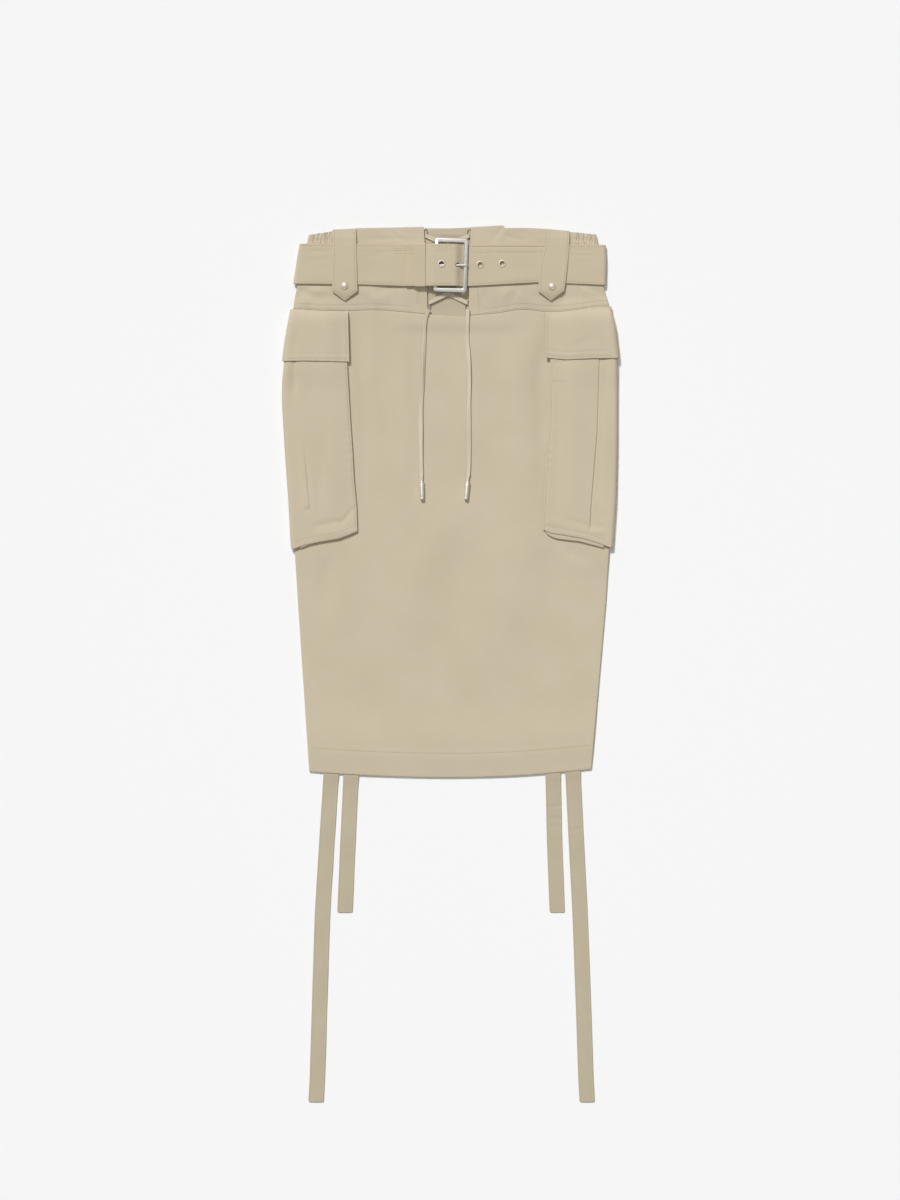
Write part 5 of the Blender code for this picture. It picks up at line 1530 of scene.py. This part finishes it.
def walk(line, pitch):
    """Places along a line of corners, one pitch apart, with the line's direction at each."""
    corners = np.array(line, float)
    lengths = np.linalg.norm(np.diff(corners, axis=0), axis=1)
    runs = np.r_[0, lengths.cumsum()]
    count = max(1, int(runs[-1] / pitch))
    stops = (np.arange(count) + 0.5) * runs[-1] / count
    places = np.stack([np.interp(stops, runs, corners[:, axis]) for axis in (0, 1)], axis=-1)
    ahead = np.stack([np.interp(stops + 0.4, runs, corners[:, axis]) for axis in (0, 1)], axis=-1) - places
    return places, ahead / np.maximum(np.linalg.norm(ahead, axis=1)[:, None], 1e-6)


def stitch_shape():
    """One stitch: a small rounded capsule along X, one unit long and wide."""
    bpy.ops.object.select_all(action="DESELECT")
    bpy.ops.mesh.primitive_uv_sphere_add(segments=6, ring_count=5, radius=0.5)
    capsule = bpy.context.object
    capsule.data.transform(Matrix.Rotation(math.pi / 2, 4, "Y"))
    spots = np.array([vertex.co for vertex in capsule.data.vertices])
    faces = [tuple(face.vertices) for face in capsule.data.polygons]
    bpy.data.objects.remove(capsule)
    return spots, faces


STITCH_SPOTS, STITCH_FACES = stitch_shape()


def sew(name, onto, lines, slot, from_below=False):
    """Rows of stitches on a surface, as one piece."""
    down = Vector((0, 0, 1 if from_below else -1))
    start_z = -5 if from_below else 60
    spots, faces, threads = [], [], []
    for line in lines:
        places, aheads = walk(line, STITCH_PITCH)
        for (x, y), (ahead_x, ahead_y) in zip(places, aheads):
            hit, normal, _, _ = onto.ray_cast(Vector((x, y, start_z)) * MM, down)
            if hit is None or normal.z * down.z > -0.25:
                continue
            along = Vector((ahead_x, ahead_y, 0))
            along = (along - normal * along.dot(normal)).normalized()
            aside = normal.cross(along)
            basis = np.array((along * STITCH_LENGTH, aside * STITCH_WIDTH, normal * STITCH_WIDTH * 0.8)) * MM
            middle = np.array(hit + normal * (STITCH_WIDTH * 0.28 - STITCH_SUNK) * MM)
            base = len(spots) * len(STITCH_SPOTS)
            spots.append(STITCH_SPOTS @ basis + middle)
            threads.append((STITCH_SPOTS[:, :2] * (STITCH_LENGTH, STITCH_WIDTH) + (x, y)) * MM)
            faces += [tuple(base + index for index in face) for face in STITCH_FACES]
    mesh = bpy.data.meshes.new(name)
    mesh.from_pydata(np.concatenate(spots).tolist(), [], faces)
    layer = mesh.uv_layers.new(name="UVMap")
    corners = np.empty(len(mesh.loops), int)
    mesh.loops.foreach_get("vertex_index", corners)
    layer.data.foreach_set("uv", np.concatenate(threads)[corners].ravel())
    rows = bpy.data.objects.new(name, mesh)
    bpy.context.scene.collection.objects.link(rows)
    bpy.ops.object.select_all(action="DESELECT")
    bpy.context.view_layer.objects.active = rows
    rows.select_set(True)
    bpy.ops.object.shade_smooth()
    return dress(rows, sewing_thread_and_channel_shade, slot)


def drawn(start, end, step, place):
    """A line of corners along a curve that a function gives."""
    values = np.arange(start, end + step / 2, step)
    return [tuple(float(value) for value in place(value)) for value in values]


front_surface = surface_of(front_panel)
hem_rows = [drawn(-180, 180, 4, lambda x: (x, hem_y(x) + HEM_TURN - 2.0))]
sew("hem_stitching_front", front_surface, hem_rows, "shell")
yoke_surface = surface_of(yoke_left, yoke_right)
yoke_rows_sewn = [
    drawn(-198, -52, 3, lambda x: (x, seam_y(x) + 2.2)),
    drawn(-198, -52, 3, lambda x: (x, seam_y(x) + 8.0)),
    drawn(44, 202, 3, lambda x: (x, seam_y(x) + 2.2)),
    drawn(44, 202, 3, lambda x: (x, seam_y(x) + 8.0)),
    [(-43.2, 486), (-44.2, 467.8)],
    [(-40.6, 486), (-41.6, 467.8)],
    [(34.6, 491), (36.9, 460)],
]
sew("yoke_stitching", yoke_surface, yoke_rows_sewn, "shell")
for seam_side, seam_sign in (("left", -1), ("right", 1)):

    def pocket_inner(y, inset, side=seam_side, sign=seam_sign):
        return float(read(POCKET_INNER, "y", side, y, blur=10)) + sign * inset

    def pocket_low(across, up, side=seam_side, sign=seam_sign):
        y = float(read(POCKET_BOTTOM, "across", side, across, blur=0.05)) + up
        start = float(read(POCKET_INNER, "y", side, y, blur=10))
        return start + (sign * 203 - start) * across, y

    pocket_rows = [
        drawn(176, 388, 4, lambda y: (pocket_inner(y, 2.4), y)),
        drawn(0.05, 0.97, 0.04, lambda across: pocket_low(across, 8.5)),
    ]
    if seam_side == "right":
        pocket_rows.append([(131.5, 366.9), (150.0, 366.9)])
    sew(f"pocket_stitching_{seam_side}", surface_of(pockets[seam_side]), pocket_rows, "shell")

    def flap_inner(y, inset, side=seam_side, sign=seam_sign):
        return float(read(FLAP_INNER, "y", side, y)) + sign * inset

    def flap_low(across, up, side=seam_side, sign=seam_sign):
        start = flap_inner(395.0, 3.2)
        return start + (sign * 211 - start) * across, float(read(FLAP_BOTTOM, "across", side, across)) + up

    flap_rows = [
        drawn(397, 455, 3, lambda y: (flap_inner(y, 3.2), y)),
        drawn(0.02, 0.98, 0.04, lambda across: flap_low(across, 3.4)),
    ]
    sew(f"flap_stitching_{seam_side}", surface_of(flaps[seam_side]), flap_rows, "shell")
    loop_table = LOOP_LEFT if seam_side == "left" else LOOP_RIGHT
    loop_sides = []
    for column, inset in (("left", 2.6), ("right", -2.6)):
        loop_sides.append(
            drawn(485, 560, 4, lambda y: (float(read(loop_table, "y", column, y, blur=4)) + inset, y))
        )
    tab = SNAPS[seam_side]
    tab_low = [(loop_sides[0][0][0], 484.6), (tab.x, LOOP_POINT_Y + 3.2), (loop_sides[1][0][0], 484.6)]
    loop_rows = [loop_sides[0][::-1] + tab_low, loop_sides[1]]
    sew(f"loop_stitching_{seam_side}", surface_of(belt_loops[seam_side]), loop_rows, "belting")

belt_surface = surface_of(belt)
belt_rows = []
for first_x, last_x in ((-198, -50), (24, 204)):
    for edge_name, inset in (("top", -2.4), ("bottom", 2.4)):
        belt_rows.append(
            drawn(first_x, last_x, 4, lambda x: (x, read(BELT_EDGES, "x", edge_name, x, blur=8) + inset))
        )
belt_rows.append([(27.8, 540.2), (122.0, 540.8)])
belt_rows.append([(27.8, 533.3), (122.0, 533.9)])
for row_y in (538.4, 535.6, 531.4):
    belt_rows.append([(-75.0, row_y), (-47.0, row_y)])
belt_rows.append([(-28.0, 540.8), (2.0, 540.4)])
belt_rows.append([(-28.0, 492.0), (2.0, 491.6)])
sew("belt_stitching", belt_surface, belt_rows, "belting")
back_surface = surface_of(back_panel, back_yoke)
back_rows = [
    drawn(-176, 176, 4, lambda x: (x, hem_y(x) + HEM_TURN - 2.0)),
    drawn(-196, 198, 4, lambda x: (x, BACK_SEAM_Y + 2.4)),
]
sew("back_stitching", back_surface, back_rows, "shell", from_below=True)

# Floor, light and camera
# A plain white floor just under the skirt, a sun from the upper left, a large soft light overhead and a long
# lens straight above.
FLOOR_DOWN = 0.2
SUN_PLACE = (-0.6, 1.3, 1.6)
SUN_STRENGTH = 2.6
SUN_SOFTNESS = 10
SOFTBOX_SIZE = 2.6
SOFTBOX_POWER = 37
CAMERA_LENS = 92.4
CAMERA_PLACE = (-0.0008, 0.0828, 4.0)
bpy.ops.object.select_all(action="DESELECT")
bpy.ops.mesh.primitive_plane_add(size=40)
floor = bpy.context.object
floor.name = "floor"
floor.data.transform(Matrix.Translation((0, 0, -FLOOR_DOWN * MM)))
floor_white = bpy.data.materials.new("floor_white")
floor_white.use_nodes = True
floor_shader = floor_white.node_tree.nodes["Principled BSDF"]
floor_shader.inputs["Base Color"].default_value = (0.92, 0.92, 0.92, 1)
floor_shader.inputs["Roughness"].default_value = 0.9
floor_shader.inputs["Specular IOR Level"].default_value = 0.1
floor.data.materials.append(floor_white)

world = bpy.data.worlds.new("white_room")
world.use_nodes = True
sky = world.node_tree.nodes["Background"]
sky.inputs["Color"].default_value = (1.0, 0.985, 0.9, 1)
sky.inputs["Strength"].default_value = 0.25
bpy.context.scene.world = world

sun = bpy.data.lights.new("key_light", "SUN")
sun.energy = SUN_STRENGTH
sun.color = (0.985, 0.995, 1.03)
sun.angle = math.radians(SUN_SOFTNESS)
key_light = bpy.data.objects.new("key_light", sun)
key_light.location = SUN_PLACE
key_light.rotation_euler = (-Vector(SUN_PLACE)).to_track_quat("-Z", "Y").to_euler()
bpy.context.scene.collection.objects.link(key_light)

overhead = bpy.data.lights.new("overhead_softbox", "AREA")
overhead.size = SOFTBOX_SIZE
overhead.energy = SOFTBOX_POWER
overhead_light = bpy.data.objects.new("overhead_softbox", overhead)
overhead_light.location = (0, 0.1, 4.8)
bpy.context.scene.collection.objects.link(overhead_light)

view = bpy.data.cameras.new("camera")
view.lens = CAMERA_LENS
view.sensor_width = 36
view.sensor_fit = "VERTICAL"
view.sensor_height = 36
camera = bpy.data.objects.new("camera", view)
camera.location = CAMERA_PLACE
bpy.context.scene.collection.objects.link(camera)
bpy.context.scene.camera = camera
bpy.context.scene.view_settings.view_transform = "Standard"
